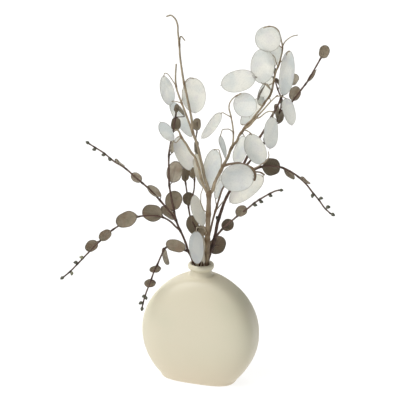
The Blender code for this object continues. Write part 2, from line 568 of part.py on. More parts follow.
def build_spray(spray, stems, pods, leaves, buds, colour):
    # One stem with all that grows from it, as one body
    routes = stem_routes(spray, stems)
    pieces = []
    for name, _, _, start_mm, end_mm, _ in stems:
        pieces.append(tube(routes[name]["points"], start_mm, end_mm, STEM_SIDES))
    for stem, pixel, behind, length, width, lean, turn, meets, way in pods:
        root, depth, _ = nearest(routes[stem], way[0])
        middle = spot(pixel, depth + behind)
        shape = (middle, length, width, lean, turn)
        sign = 1 if meets == "top" else -1
        stalk = [root]
        stalk += [spot(p, depth + behind * (i + 1) / len(way)) for i, p in enumerate(way[1:])]
        stalk += [on_rib(*shape, POD_CUP, sign), on_rib(*shape, POD_CUP, STALK_REACH * sign)]
        pieces.append(tube(stalk, STALK_MM, STALK_MM * STALK_TAPER, STALK_SIDES))
        pieces.append(blade(*shape, POD_SIDES, POD_THICK_MM, POD_CUP))
    for stem, pixel, behind, length, width, lean, turn in leaves:
        _, depth, way = nearest(routes[stem], pixel)
        shape = (spot(pixel, depth + behind), length, width, lean, turn)
        sign = -1 if blade_axes(lean, turn)[0] @ way > 0 else 1
        foot = on_rib(*shape, LEAF_CUP, sign)
        root = nearest_point(routes[stem]["points"], foot - way * LEAF_SETBACK)
        stalk = [root]
        stalk += [on_rib(*shape, LEAF_CUP, reach * sign) for reach in (PETIOLE_EDGE, PETIOLE_REACH)]
        pieces.append(tube(stalk, STALK_MM, STALK_MM * STALK_TAPER, STALK_SIDES))
        pieces.append(blade(*shape, LEAF_SIDES, LEAF_THICK_MM, LEAF_CUP))
    for stem, pixel in buds:
        root, depth, way = nearest(routes[stem], pixel)
        middle = spot(pixel, depth)
        if np.linalg.norm(middle - root) > BUD_MM[1] * MM * BUD_ON_STEM:
            pieces.append(tube([root, middle], STALK_MM, STALK_MM * STALK_TAPER, STALK_SIDES))
            way = way + (middle - root) / np.linalg.norm(middle - root)
            way /= np.linalg.norm(way)
        pieces.append(bud(middle, way))
    union(spray, pieces, colour)


def fill_hollows(mesh):
    # A hollow that joining has sealed in is filled, by taking away its few faces
    shape = bmesh.new()
    shape.from_mesh(mesh)
    left = set(shape.verts)
    while left:
        group = {left.pop()}
        edge = set(group)
        while edge:
            edge = {e.other_vert(v) for v in edge for e in v.link_edges} - group
            group |= edge
        left -= group
        if len(group) <= HOLLOW_POINTS:
            bmesh.ops.delete(shape, geom=list(group), context="VERTS")
    shape.to_mesh(mesh)
    shape.free()


def union(name, pieces, colour):
    # One Boolean union joins a spray's pieces, and is applied
    base = make_object(name, *pieces[0], colour)
    others = bpy.data.collections.new(name + "_pieces")
    bpy.context.scene.collection.children.link(others)
    for count, (verts, faces) in enumerate(pieces[1:]):
        extra = make_object(f"{name}_{count:03d}", verts, faces)
        bpy.context.scene.collection.objects.unlink(extra)
        others.objects.link(extra)
    join = base.modifiers.new("join", "BOOLEAN")
    join.operation = "UNION"
    join.operand_type = "COLLECTION"
    join.collection = others
    join.solver = "MANIFOLD"
    settled = base.evaluated_get(bpy.context.evaluated_depsgraph_get())
    joined = bpy.data.meshes.new_from_object(settled)
    base.modifiers.clear()
    base.data = joined
    fill_hollows(joined)
    for extra in list(others.objects):
        bpy.data.objects.remove(extra)
    bpy.data.collections.remove(others)


for old in list(bpy.data.objects):
    bpy.data.objects.remove(old)

build_vase()
build_spray("honesty_main", HONESTY_MAIN_STEMS, HONESTY_MAIN_PODS, (), (), HONESTY_WHITE)
build_spray("honesty_back", HONESTY_BACK_STEMS, HONESTY_BACK_PODS, (), (), HONESTY_WHITE)
build_spray("eucalyptus_left", EUCALYPTUS_LEFT_STEMS, (), EUCALYPTUS_LEFT_LEAVES,
            EUCALYPTUS_LEFT_BUDS, LEAF_TAUPE)
build_spray("eucalyptus_middle", EUCALYPTUS_MIDDLE_STEMS, (), EUCALYPTUS_MIDDLE_LEAVES,
            EUCALYPTUS_MIDDLE_BUDS, LEAF_TAUPE)
build_spray("eucalyptus_right", EUCALYPTUS_RIGHT_STEMS, (), EUCALYPTUS_RIGHT_LEAVES,
            EUCALYPTUS_RIGHT_BUDS, LEAF_TAUPE)
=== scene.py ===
import math

import bpy
import numpy as np
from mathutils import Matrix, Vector


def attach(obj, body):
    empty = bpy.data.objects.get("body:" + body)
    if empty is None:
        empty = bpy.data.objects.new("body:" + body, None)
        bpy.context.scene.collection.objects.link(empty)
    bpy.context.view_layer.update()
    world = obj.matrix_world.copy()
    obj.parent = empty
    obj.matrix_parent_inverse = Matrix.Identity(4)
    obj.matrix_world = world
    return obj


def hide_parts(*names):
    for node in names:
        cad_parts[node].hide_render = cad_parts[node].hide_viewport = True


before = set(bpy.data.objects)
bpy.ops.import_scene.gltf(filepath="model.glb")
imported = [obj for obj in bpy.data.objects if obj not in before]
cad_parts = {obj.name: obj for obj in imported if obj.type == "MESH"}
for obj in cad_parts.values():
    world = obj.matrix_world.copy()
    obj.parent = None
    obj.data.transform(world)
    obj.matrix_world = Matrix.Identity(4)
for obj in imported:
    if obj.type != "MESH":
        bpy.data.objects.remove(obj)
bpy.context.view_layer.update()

mm = 0.001
fullTurn = 2 * math.pi
white = (1.0, 1.0, 1.0, 1.0)
chance = np.random.default_rng(11)
phaseSpan = 6.28           # random phases are drawn from 0 to this
print("frame loaded:", sorted(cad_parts))

# The arrangement is laid out as it is seen from its front: a point is a pixel, right and
# down in the 400 x 400 picture, and a depth in millimetres behind the vase's axis.
seen = {
    "turn": 18.8,          # degrees that the eye stands to the right of the front
    "height": 16.0,        # degrees that it looks down
    "distance": 1.6,       # metres from the middle of the picture
    "middleZ": 0.2872,     # height of the middle of the picture
    "pixel": 0.0015,       # metres to a pixel at that distance
    "frameMiddle": 200.0, "frameSize": 400.0,      # in pixels
    "axisX": 200.4,        # where the vase's axis falls in the picture
    "sensor": 36.0,        # the camera's sensor, millimetres wide
}
turn, height = math.radians(seen["turn"]), math.radians(seen["height"])
rightWay = np.array((math.cos(turn), math.sin(turn), 0.0))
backWay = np.array((-math.sin(turn), math.cos(turn), 0.0))
eyeWay = np.array((0.0, 0.0, math.sin(height))) - backWay * math.cos(height)
upWay = np.cross(eyeWay, rightWay)
eye = np.array((0.0, 0.0, seen["middleZ"])) + eyeWay * seen["distance"]


def unit(v):
    # v / |v|, row by row
    return v / np.linalg.norm(v, axis=-1, keepdims=True)


def spots(pixels, depths):
    # eye + ray * reach: the ray goes through the pixel, and stops depth behind the axis
    pixels = np.atleast_2d(np.array(pixels, float))
    across = (pixels[:, 0] - seen["axisX"]) * seen["pixel"] / seen["distance"]
    rise = (seen["frameMiddle"] - pixels[:, 1]) * seen["pixel"] / seen["distance"]
    rays = across[:, None] * rightWay + rise[:, None] * upWay - eyeWay
    reach = (np.asarray(depths) * mm - eye @ backWay) / (rays @ backWay)
    return eye + rays * reach[:, None]


def besideAxis(place, z):
    # (across, depth) in millimetres from the vase's axis, at one level
    point = rightWay * place[0] * mm + backWay * place[1] * mm
    return np.array((point[0], point[1], z))


def runAlong(points):
    # s[i] = the sum of the legs before point i
    return np.concatenate(([0.0], np.cumsum(np.linalg.norm(np.diff(points, axis=0), axis=1))))


def evenly(run, step, fewest):
    # 0 to the run's end in equal steps, near the step that is asked for
    return np.linspace(0.0, run[-1], max(int(run[-1] / step), fewest) + 1)


def smoothRoute(points, radii, step):
    # a cubic on each leg, (2t3-3t2+1) a + (t3-2t2+t) ma + (3t2-2t3) b + (t3-t2) mb, with
    # the slopes m taken along the run, read every step
    run = runAlong(points)
    slopes = np.gradient(points, run, axis=0)
    at = evenly(run, step, 5)
    leg = np.clip(np.searchsorted(run, at, side="right") - 1, 0, len(run) - 2)
    size = (run[leg + 1] - run[leg])[:, None]
    t = (at - run[leg])[:, None] / size
    line = (2 * t**3 - 3 * t**2 + 1) * points[leg] + (t**3 - 2 * t**2 + t) * size * slopes[leg]
    line += (3 * t**2 - 2 * t**3) * points[leg + 1] + (t**3 - t**2) * size * slopes[leg + 1]
    return line, np.interp(at, run, radii)


def softRoute(points, step, passes):
    # the straight legs read every step, then p = (before + 2 p + after) / 4, passes times
    run = runAlong(points)
    at = evenly(run, step, 4)
    line = np.stack([np.interp(at, run, points[:, i]) for i in range(3)], -1)
    for _ in range(passes):
        line[1:-1] = (line[:-2] + 2 * line[1:-1] + line[2:]) / 4
    return line


def skin(rings, down, tint, poles=None, plan=None):
    # p[i, j] is row i, step j round. Rows are joined to the next, and a fan on a pole
    # closes each end. The map is (j / steps, down[i]) unless a plan gives it by point.
    rows, steps = rings.shape[:2]
    i, j = np.meshgrid(np.arange(rows - 1), np.arange(steps), indexing="ij")
    level, around = np.stack((i, i, i + 1, i + 1), -1), np.stack((j, j + 1, j + 1, j), -1)
    quads = (level * steps + around % steps).reshape(-1, 4)
    at = np.arange(steps)
    tris, fanMaps = [], []
    for left, right, row in ((at + 1, at, 0), (at, at + 1, rows - 1)):
        pole = np.full(steps, rows * steps + (row > 0))
        tris.append(np.stack((row * steps + left % steps, row * steps + right % steps, pole), -1))
        if plan is None:
            u = np.stack((left, right, at + 0.5), -1) / steps
            fanMaps.append(np.stack((u, np.full(u.shape, down[row])), -1).reshape(-1, 2))
    tris = np.concatenate(tris)
    if plan is None:
        quadMap = np.stack((around / steps, down[level]), -1).reshape(-1, 2)
        cornerMap = np.concatenate([quadMap] + fanMaps)
    else:
        cornerMap = np.concatenate((plan[quads.ravel()], plan[tris.ravel()]))
    if poles is None:
        poles = (rings[0].mean(axis=0), rings[-1].mean(axis=0))
    verts = np.concatenate((rings.reshape(-1, 3), np.array(poles)))
    tint = np.broadcast_to(np.asarray(tint, float), (len(verts), 4))
    return {"verts": verts, "quads": quads, "tris": tris, "map": cornerMap, "tint": tint}


def tube(line, radii, steps, tint, ribs=(), tips=(0.0, 0.6), nodeTint=None):
    # p(s, a) = line(s) + r(s) (1 + sum of depth cos(count a + phase + twist s)) (side cos a +
    # up sin a), closed a tip's share of the radius beyond each end
    along = unit(np.gradient(line, axis=0))
    choices = np.array((eyeWay, upWay, rightWay))
    facing = choices[np.abs(along @ choices.T).max(axis=0).argmin()]
    side = unit(np.cross(along, facing))
    up = np.cross(along, side)
    a = fullTurn * np.arange(steps) / steps
    run = runAlong(line)
    swell = np.ones((len(line), steps))
    for count, depth, phase, twist in ribs:
        swell += depth * np.cos(count * a[None, :] + phase + twist * run[:, None])
    out = side[:, None, :] * np.cos(a)[None, :, None] + up[:, None, :] * np.sin(a)[None, :, None]
    rings = line[:, None, :] + out * (radii[:, None] * swell)[:, :, None]
    poles = (line[0] - along[0] * radii[0] * tips[0], line[-1] + along[-1] * radii[-1] * tips[1])
    rowTint = np.broadcast_to(np.asarray(tint, float), (len(line), 4)).copy()
    if nodeTint is not None:
        rowTint[:, 2] = nodeTint
    rowTint = np.concatenate((np.repeat(rowTint, steps, axis=0), rowTint[:1], rowTint[-1:]))
    return skin(rings, run, rowTint, poles)


def addObject(name, data):
    made = bpy.data.objects.new(name, data)
    bpy.context.scene.collection.objects.link(made)
    return made


def makePiece(node, form, skins, material):
    # joins the skins in one mesh, with their map and their tint, in place of a node
    name = node + "_" + form
    mesh = bpy.data.meshes.new(name)
    verts, quads, tris, tints, quadMap, triMap, offset = [], [], [], [], [], [], 0
    for part in skins:
        verts.append(part["verts"])
        tints.append(part["tint"])
        quads.append(part["quads"] + offset)
        tris.append(part["tris"] + offset)
        quadMap.append(part["map"][:part["quads"].size])
        triMap.append(part["map"][part["quads"].size:])
        offset += len(part["verts"])
    faces = np.concatenate(quads).tolist() + np.concatenate(tris).tolist()
    mesh.from_pydata(np.concatenate(verts).tolist(), [], faces)
    layer = mesh.uv_layers.new(name="pieceMap")
    layer.data.foreach_set("uv", np.concatenate(quadMap + triMap).ravel())
    tint = mesh.attributes.new("tint", "FLOAT_COLOR", "POINT")
    tint.data.foreach_set("color", np.concatenate(tints).ravel())
    mesh.shade_smooth()
    mesh.materials.append(material)
    piece = addObject(name, mesh)
    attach(piece, "root")
    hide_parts(node)
    print(name, "made:", len(mesh.polygons), "faces")


# Finishes. Patterns are noises: what each reads, its scale, detail, roughness, distortion and
# stretch. Coats are laid over the base colour in turn: the value that shows a coat, its
# colour, and, where it isn't simply 0 to 1, where it starts, where it is full and the most of
# it. The relief adds up values by their depths, and the bump is its strength and metres.

def paint(code):
    # a colour code such as 8C7B66, as Blender's linear values
    parts = [int(code[i:i + 2], 16) / 255 for i in (0, 2, 4)]
    linear = [p / 12.92 if p <= 0.04045 else ((p + 0.055) / 1.055) ** 2.4 for p in parts]
    return (*linear, 1.0)


def addNode(tree, kind, inputs=None, **settings):
    # an input is linked where a socket is given for it, and set where a value is
    made = tree.nodes.new(kind)
    for name, value in settings.items():
        setattr(made, name, value)
    for name, value in (inputs or {}).items():
        if isinstance(value, bpy.types.NodeSocket):
            tree.links.new(value, made.inputs[name])
        else:
            made.inputs[name].default_value = value
    return made


def sums(tree, way, first, second=0.0):
    # one step of arithmetic, named as in Blender's Math node
    return addNode(tree, "ShaderNodeMath", {0: first, 1: second}, operation=way).outputs[0]


def spread(tree, value, low, high, outLow=0.0, outHigh=1.0):
    # low..high becomes outLow..outHigh, held at both ends
    made = addNode(tree, "ShaderNodeMapRange", {"Value": value, "From Min": low, "From Max": high,
                                                "To Min": outLow, "To Max": outHigh})
    return made.outputs["Result"]


def noise(tree, where, scale, detail, roughness=0.55, distortion=0.0, stretch=None):
    # Blender's fractal noise, squeezed along each axis by the stretch
    if stretch is not None:
        where = addNode(tree, "ShaderNodeMapping", {"Vector": where, "Scale": stretch}).outputs["Vector"]
    made = addNode(tree, "ShaderNodeTexNoise", {"Vector": where, "Scale": scale, "Detail": detail,
                                                "Roughness": roughness, "Distortion": distortion})
    return made.outputs["Fac"]


def makeFinish(name, look, addOwn=None):
    # reads the object's coordinates and height, the piece's map, and its tint: red is the tone,
    # green how deep a stem is, and blue its edge, node or tip
    material = bpy.data.materials.new(name)
    material.use_nodes = True
    tree = material.node_tree
    where = addNode(tree, "ShaderNodeTexCoord").outputs["Object"]
    tint = addNode(tree, "ShaderNodeAttribute", attribute_name="tint").outputs["Color"]
    split = addNode(tree, "ShaderNodeSeparateColor", {"Color": tint}).outputs
    reads = {"where": where, "map": addNode(tree, "ShaderNodeUVMap", uv_map="pieceMap").outputs["UV"],
             "tone": split["Red"], "deep": split["Green"], "edge": split["Blue"]}
    for pattern, (source, *size) in look["patterns"].items():
        reads[pattern] = noise(tree, reads[source], *size)
    if "low" in look:
        reads["level"] = addNode(tree, "ShaderNodeSeparateXYZ", {"Vector": where}).outputs["Z"]
        reads["low"] = sums(tree, "MULTIPLY", *(spread(tree, reads[k], *span) for k, *span in look["low"]))
    if addOwn is not None:
        addOwn(tree, reads)
    colour = paint(look["base"])
    for source, code, *span in look["coats"]:
        share = spread(tree, reads[source], *span[:2], 0.0, span[2]) if span else reads[source]
        colour = addNode(tree, "ShaderNodeMix", {0: share, 6: colour, 7: paint(code)},
                         data_type="RGBA").outputs[2]
    relief = 0.0
    for source, depth in look["relief"]:
        relief = sums(tree, "ADD", relief, sums(tree, "MULTIPLY", reads[source], depth))
    strength, distance = look["bump"]
    lift = addNode(tree, "ShaderNodeBump", {"Height": relief, "Strength": strength, "Distance": distance})
    normal = lift.outputs["Normal"]
    source, *span = look["rough"]
    shader = tree.nodes["Principled BSDF"]
    for socket, value in (("Base Color", colour), ("Roughness", spread(tree, reads[source], *span)),
                          ("Normal", normal)):
        tree.links.new(value, shader.inputs[socket])
    for socket, value in look["sockets"].items():
        shader.inputs[socket].default_value = value
    if "through" in look:
        # a share of the light that falls on the back comes through to the front
        through = addNode(tree, "ShaderNodeBsdfTranslucent", {"Color": colour, "Normal": normal}).outputs[0]
        both = addNode(tree, "ShaderNodeMixShader", {0: look["through"], 1: shader.outputs[0], 2: through})
        tree.links.new(both.outputs[0], tree.nodes["Material Output"].inputs["Surface"])
    return material


# matte ivory slip
ivoryCeramic = makeFinish("ivoryCeramic", {
    "patterns": {
        "drift": ("where", 9.0, 2.0), "bands": ("where", 30.0, 3.0, 0.55, 0.0, (1.0, 1.0, 5.0)),
        "specks": ("where", 900.0, 1.0), "grain": ("where", 700.0, 4.0),
    },
    "low": (("level", 0.075, 0.0), ("drift", 0.3, 0.6, 0.5, 1.0)),
    "base": "DCD4BC",
    "coats": (
        ("drift", "D5D1B8", 0.38, 0.66, 1.0),      # broad cool drifts
        ("low", "DDCFB5"),                         # warmer towards the foot
        ("bands", "DDCFB5", 0.62, 0.80, 0.20),     # faint brush banding
        ("specks", "B8AB8C", 0.74, 0.80, 0.28),    # pin-head specks
    ),
    "relief": (("grain", 0.3), ("bands", 0.7)), "bump": (0.10, 0.0005),
    "rough": ("bands", 0.3, 0.7, 0.36, 0.44),
    "sockets": {"Specular IOR Level": 0.55},
})

# papery skin, with bluish and lilac drifts that are partly its own faint tint and partly a painted pearly
# sheen
honestyPaper = makeFinish("honestyPaper", {
    "patterns": {
        "drift": ("where", 34.0, 2.0, 0.55, 0.6), "other": ("where", 52.0, 2.0, 0.55, 0.4),
        "fibres": ("map", 11.0, 5.0, 0.65, 0.35, (5.0, 1.2, 1.0)),
    },
    "base": "F7F7F3",
    "coats": (
        # the bluish and lilac drifts: faint tints of the skin and a painted pearly sheen
        ("drift", "EAEDEC", 0.42, 0.62, 1.0),      # bluish
        ("other", "E9E8EB", 0.52, 0.72, 0.75),     # lilac
        ("tone", "EEE8DA"),                        # creamy up to 1,
        ("tone", "94877A", 1.0, 2.0, 1.0),         # in its brown husk at 2,
        # the grey below tone 0 is painted shade, for a pod that sits in shade
        ("tone", "A6AAAA", 0.0, -1.0, 1.0),        # slate grey at -1
        ("fibres", "D7D8D4", 0.48, 0.68, 0.60),
        ("edge", "BAB7AD"),                        # the wiry rim
    ),
    "relief": (("fibres", 1.0),), "bump": (0.35, 0.0004),
    "rough": ("fibres", 0.3, 0.7, 0.34, 0.50),
    "sockets": {"Specular IOR Level": 0.5, "Sheen Weight": 0.12, "Sheen Roughness": 0.4},
    "through": 0.60,
})


def addDeep(tree, reads):
    # the larger of how deep the stem is and the dark patches near the mouth
    reads["deep"] = sums(tree, "MAXIMUM", reads["deep"], reads["low"])


def barkFinish(name, dark, light, blotch, pale, deep, node):
    # dry bark: streaks along the stem, blotches, darker where it is deep or something grows out
    return makeFinish(name, {
        "patterns": {
            "streaks": ("map", 1.0, 4.0, 0.6, 0.0, (14.0, 90.0, 1.0)),
            "blotches": ("where", 60.0, 3.0), "pores": ("where", 900.0, 2.0),
        },
        "low": (("level", 0.245, 0.200), ("blotches", 0.40, 0.60)),
        "base": dark,
        "coats": (("streaks", light, 0.36, 0.64, 1.0), ("blotches", blotch, 0.48, 0.70, 0.8),
                  ("tone", pale), ("deep", deep), ("edge", node)),
        "relief": (("streaks", 1.0), ("pores", 0.4)), "bump": (0.6, 0.0004),
        "rough": ("streaks", 0.3, 0.7, 0.55, 0.75),
        "sockets": {"Specular IOR Level": 0.35},
    }, addDeep)


honestyBark = barkFinish("honestyStem", "7F6F59", "BDAA8B", "9A8A76", "ABA392", "6A5342", "70593F")
eucalyptusBark = barkFinish("eucalyptusStem", "43302A", "6C5346", "553F36", "7A685B", "4E372D", "31251F")

vein = {"often": 46.0, "slant": 0.75, "wander": 0.10, "side": (0.80, 1.0, 0.0, 0.45), "rib": (0.035, 0.012)}


def addVeins(tree, reads):
    # side veins lie where sin(often (v - slant |u - 0.5| + wander)) is near 1, the rib at u = 0.5
    place = addNode(tree, "ShaderNodeSeparateXYZ", {"Vector": reads["map"]}).outputs
    fromRib = sums(tree, "ABSOLUTE", sums(tree, "SUBTRACT", place["X"], 0.5))
    slant = sums(tree, "SUBTRACT", place["Y"], sums(tree, "MULTIPLY", fromRib, vein["slant"]))
    wander = sums(tree, "MULTIPLY", reads["wander"], vein["wander"])
    wave = sums(tree, "SINE", sums(tree, "MULTIPLY", sums(tree, "ADD", slant, wander), vein["often"]))
    reads["veins"] = sums(tree, "MAXIMUM", spread(tree, wave, *vein["side"]),
                          spread(tree, fromRib, *vein["rib"]))


# dried leaf, dark at tone 0 and pale at 1
eucalyptusLeaf = makeFinish("eucalyptusLeaf", {
    "patterns": {
        "mottle": ("where", 150.0, 4.0, 0.6), "patches": ("where", 55.0, 2.0), "wander": ("map", 6.0, 2.0),
    },
    "base": "5C4F3F",
    "coats": (
        ("tone", "A89B86", 0.0, 0.5, 1.0), ("tone", "D0C8B8", 0.5, 1.0, 1.0),
        ("patches", "92775F", 0.46, 0.66, 0.55),   # brown
        ("mottle", "86836A", 0.50, 0.72, 0.60),    # olive
        ("veins", "BBB09B", 0.0, 1.0, 0.40),
        ("edge", "5A5042"),
    ),
    "relief": (("veins", 0.8), ("mottle", 1.0)), "bump": (0.45, 0.0004),
    "rough": ("mottle", 0.3, 0.7, 0.55, 0.72),
    "sockets": {"Specular IOR Level": 0.4},
    "through": 0.30,
}, addVeins)

# waxy bud: olive at its foot, dark at its tip, dusty here and there, greener with its tone
eucalyptusBud = makeFinish("eucalyptusBud", {
    "patterns": {"dust": ("where", 420.0, 3.0)},
    "base": "4F5042",
    "coats": (("edge", "33342C"), ("dust", "5C5D52", 0.5, 0.75, 0.55), ("tone", "A2A284")),
    "relief": (("dust", 1.0),), "bump": (0.3, 0.0004),
    "rough": ("dust", 0.3, 0.7, 0.42, 0.62),
    "sockets": {"Specular IOR Level": 0.45},
})
print("finishes made")

# The vase: a flattened round flask with a short neck and a rolled lip

flask = {
    "halfWidth": 0.0912, "halfHeight": 0.0932, "halfDepth": 0.0415,
    "fullness": 3.6,           # 2 is an ellipsoid, more is a flatter face and a tighter edge
    "centreZ": 0.0754,
    "bodyTop": 1.45,           # how far up its own curve the body goes, in radians
    "wall": 0.0050,
    "corner": 0.0065,          # rounding of the foot
    "floorZ": 0.0060, "floorCorner": 0.0030,
    "neckRadius": 0.0160, "neckZ": 0.1775,
    "neckTrim": 0.0004,        # how much slimmer the neck is where the rounding adds nothing
    "fillet": 0.0150,          # how softly the neck grows out of the body
    "filletFrom": (0.145, 0.020), "filletTo": (0.180, 0.012),     # the level and length of its ends
    "neckShift": 0.0011,       # the neck stands a touch to the right of the body's middle,
    "shiftFrom": (0.150, 0.018),                                  # from this level, over this length
    "lipRadius": 0.0201, "lipZ": 0.1831, "lipHalf": 0.0045, "lipSweep": (-68, 180),
    "mouthRadius": 0.0138, "mouthZ": 0.184,
    "throatRadius": 0.0135, "throatEnd": 0.166,
    "hollowTop": 0.90,         # how much of its upper half the hollow takes
    "steps": 160, "halvings": 40,
    "rows": {"foot": 6, "body": 84, "neck": 9, "lip": 22, "throat": 6, "hollow": 16},
}


def bodyReach(z, angle, inset):
    # the r that solves (((r cos a)/w)^2 + ((z-c)/h)^2)^(n/2) + (r |sin a|/d)^n = 1, by halving
    width, tall, deep = (flask[k] - inset for k in ("halfWidth", "halfHeight", "halfDepth"))
    n = flask["fullness"]
    level = np.abs(z - flask["centreZ"]) / tall
    low = np.zeros(np.broadcast(z, angle).shape)
    high = np.full(low.shape, flask["halfWidth"])
    for _ in range(flask["halvings"]):
        r = (low + high) / 2
        size = np.hypot(r * np.cos(angle) / width, level) ** n + (r * np.abs(np.sin(angle)) / deep) ** n
        low = np.where(size < 1.0, r, low)
        high = np.where(size < 1.0, high, r)
    return np.where(level < 1.0, (low + high) / 2, 0.0)


def outerReach(z, angle):
    # the larger of body and neck, rounded where they meet: (a + b + sqrt((a-b)^2 + f^2)) / 2
    body = bodyReach(z, angle, 0.0)
    neck = np.full(body.shape, flask["neckRadius"] - flask["neckTrim"])
    (begin, grow), (stop, fade) = flask["filletFrom"], flask["filletTo"]
    blendAt = np.clip((z - begin) / grow, 0.0, 1.0) * np.clip((stop - z) / fade, 0.0, 1.0)
    soft = flask["fillet"] * blendAt
    return (body + neck + np.sqrt((body - neck) ** 2 + soft ** 2)) / 2


def makeVase():
    # rows of (reach, level) go up the outside, over the lip and down the inside
    rows, flat = flask["rows"], np.zeros((1, flask["steps"]))
    angle = (fullTurn * np.arange(flask["steps"]) / flask["steps"])[None, :]
    bottom = math.asin((flask["corner"] - flask["centreZ"]) / flask["halfHeight"])
    rise = np.linspace(bottom, flask["bodyTop"], rows["body"])
    outside = flask["centreZ"] + flask["halfHeight"] * np.sin(rise)
    outside = np.concatenate((outside, np.linspace(outside[-1], flask["neckZ"], rows["neck"])[1:]))[:, None]
    reach = outerReach(outside, angle)
    foot = np.radians(np.linspace(90, 0, rows["foot"])[:-1, None])
    footReach = reach[0] - flask["corner"] * (1 - np.cos(foot))
    footLevel = flask["corner"] * (1 - np.sin(foot))
    lipMiddle = (flask["lipRadius"] + flask["mouthRadius"]) / 2
    lipSweep = np.radians(np.linspace(*flask["lipSweep"], rows["lip"]))[:, None]
    lipReach = lipMiddle + (flask["lipRadius"] - lipMiddle) * np.cos(lipSweep) + flat
    lipLevel = flask["lipZ"] + flask["lipHalf"] * np.sin(lipSweep)
    throat = np.linspace(flask["lipZ"] - flask["lipHalf"], flask["throatEnd"], rows["throat"])[:, None]
    throatReach = flask["throatRadius"] + 0 * throat + flat
    hollowTop = flask["centreZ"] + flask["hollowTop"] * (flask["halfHeight"] - flask["wall"])
    inside = np.linspace(hollowTop, flask["floorZ"] + flask["floorCorner"], rows["hollow"])[:, None]
    insideReach = bodyReach(inside, angle, flask["wall"])
    floorReach = insideReach[-1:] - flask["floorCorner"]
    reaches = np.concatenate((footReach, reach, lipReach, throatReach, insideReach, floorReach))
    levels = np.concatenate((footLevel, outside, lipLevel, throat, inside, [[flask["floorZ"]]])) + flat
    begin, grow = flask["shiftFrom"]
    aside = flask["neckShift"] * np.clip((levels - begin) / grow, 0.0, 1.0)
    rings = np.stack((reaches * np.cos(angle) + aside, reaches * np.sin(angle), levels), -1)
    walls = skin(rings, levels[:, 0], (0.5, 0.5, 0.0, 1.0))
    makePiece("vase", "flask", [walls], ivoryCeramic)


makeVase()

# What every spray is made of: stems, pods on stalks, leaves on their petioles, buds

stemMake = {
    "step": 0.0012, "steps": 12,
    "collar": 0.35,            # how much thicker a stem is where it leaves its parent
    "collarReach": 2.5,        # over how many of its radii
    "node": 0.28,              # and where something grows out of it
    "nodeReach": 1.5, "nodeLeast": 0.0006,
    "uneven": (0.04, 260, 0.03, 610),      # two waves: a share of the radius, radians to a metre
    "pale": (1.6, 0.9),        # from 0 to 1 as the first less the radius over the second, in mm
    "palest": 0.5, "paleChance": 0.3, "nodeTint": 0.75,
    "ribs": ((5, 1.0, 2, 12.0), (2, 0.6, 0, -7.0)),    # count, share of depth, phase, twist
    "honestyRib": 0.07, "eucalyptusRib": 0.04,
    "footGap": 0.0006,
}
stalkMake = {
    "radius": 0.78, "tipRadius": 0.60, "step": 0.0005, "steps": 8, "passes": 14,
    "knob": 0.28, "knobAt": 0.0022, "knobReach": 0.0011,     # the flower's dried seat
    "collar": 0.4, "collarReach": 0.0015,
    "ribs": ((3, 0.06, 0.0, 9.0),), "tone": (0.3, 0.8), "rootTint": 0.4, "rootReach": 0.002,
}
podMake = {
    "thick": 0.00026,          # thickness of the papery wall
    "edge": 0.00046,           # half the width of the wiry rim
    "edgeIn": 0,               # 0 for a wire round the wall's end, 1 for an edge that is rounded off
    "cup": 0.05, "swell": 0.05, "uneven": 0.0,
    "point": 0.045,            # how far the two ends run out to a point
    "pinch": 0.0, "calm": 0.0,
    "wave": 0.0007, "waves": (2, 2, 3, 3, 0.5),    # count, power, count, power, second's share
    "rows": (0.10, 0.22, 0.34, 0.46, 0.58, 0.69, 0.79, 0.87, 0.93, 0.97), "steps": 48,
    "edgeSweep": (115, 80, 45, 15, -15, -45, -80, -115), "edgeRows": 0, "edgeTint": 0.55,
    "seat": (1.0, 0.95),       # where its stalk ends, as shares of the way to the rim
    "beak": (3.0, 5.0),        # the dried style at the far end, shortest and longest
    "beakFrom": (0.97, 1.0), "beakRadii": (0.42, 0.42, 0.26, 0.12), "beakBend": 0.3, "beakTint": 0.8,
    "threads": 5,              # stalks that the seeds hung from, dried on the wall
    "threadRadii": (0.20, 0.17, 0.15, 0.14, 0.14, 0.20, 0.30), "threadTint": 0.42,
    "threadEnd": (0.74, 0.08), "threadApart": (0.62, 0.35, 0.3), "threadStray": 0.05, "threadSwing": 0.5,
    "tubeSteps": (6, 5),
}
leafMake = {
    "thick": 0.0005, "edge": 0.00025, "edgeIn": 1,
    "cup": 0.09, "swell": 0.05, "uneven": 0.025,
    "point": 0.0,
    "pinch": 0.32, "calm": 0.9,            # at its petiole it narrows and waves less
    "wave": 0.0006, "waves": (3, 3, 2, 2, 0.6),
    "rows": (0.10, 0.24, 0.38, 0.52, 0.65, 0.77, 0.87, 0.95), "steps": 44,
    "edgeSweep": (60, 0, -60), "edgeRows": 1, "edgeTint": 0.6,
    "seat": (1.0, 0.9), "seatBelow": 0.003,
    "ribRadii": (0.50, 0.27), "ribEnd": -0.86, "ribPoints": 16, "ribSteps": 6, "ribTint": 0.25,
}
budMake = {
    "length": 7.4, "width": 5.6, "smallest": 0.86, "green": 0.1,
    "span": (0.04, 0.96), "groove": (0.10, 0.62, 0.05),    # how deep, where and how wide
    "ribs": (4, 0.04), "dark": (0.35, 2.2), "rows": 12, "steps": 12, "tips": (0.4, 0.7),
    "stalkFrom": 0.3, "stalkBend": 0.6,    # one that stands further off has a stalk of its own
}


def bladeWays(lean, turned):
    # a blade's long way, its side and its face, leaned and turned from facing the eye
    lean, turned = math.radians(lean), math.radians(turned)
    along = upWay * math.cos(lean) + rightWay * math.sin(lean)
    flat = rightWay * math.cos(lean) - upWay * math.sin(lean)
    side = flat * math.cos(turned) - eyeWay * math.sin(turned)
    return along, side, eyeWay * math.cos(turned) + flat * math.sin(turned)


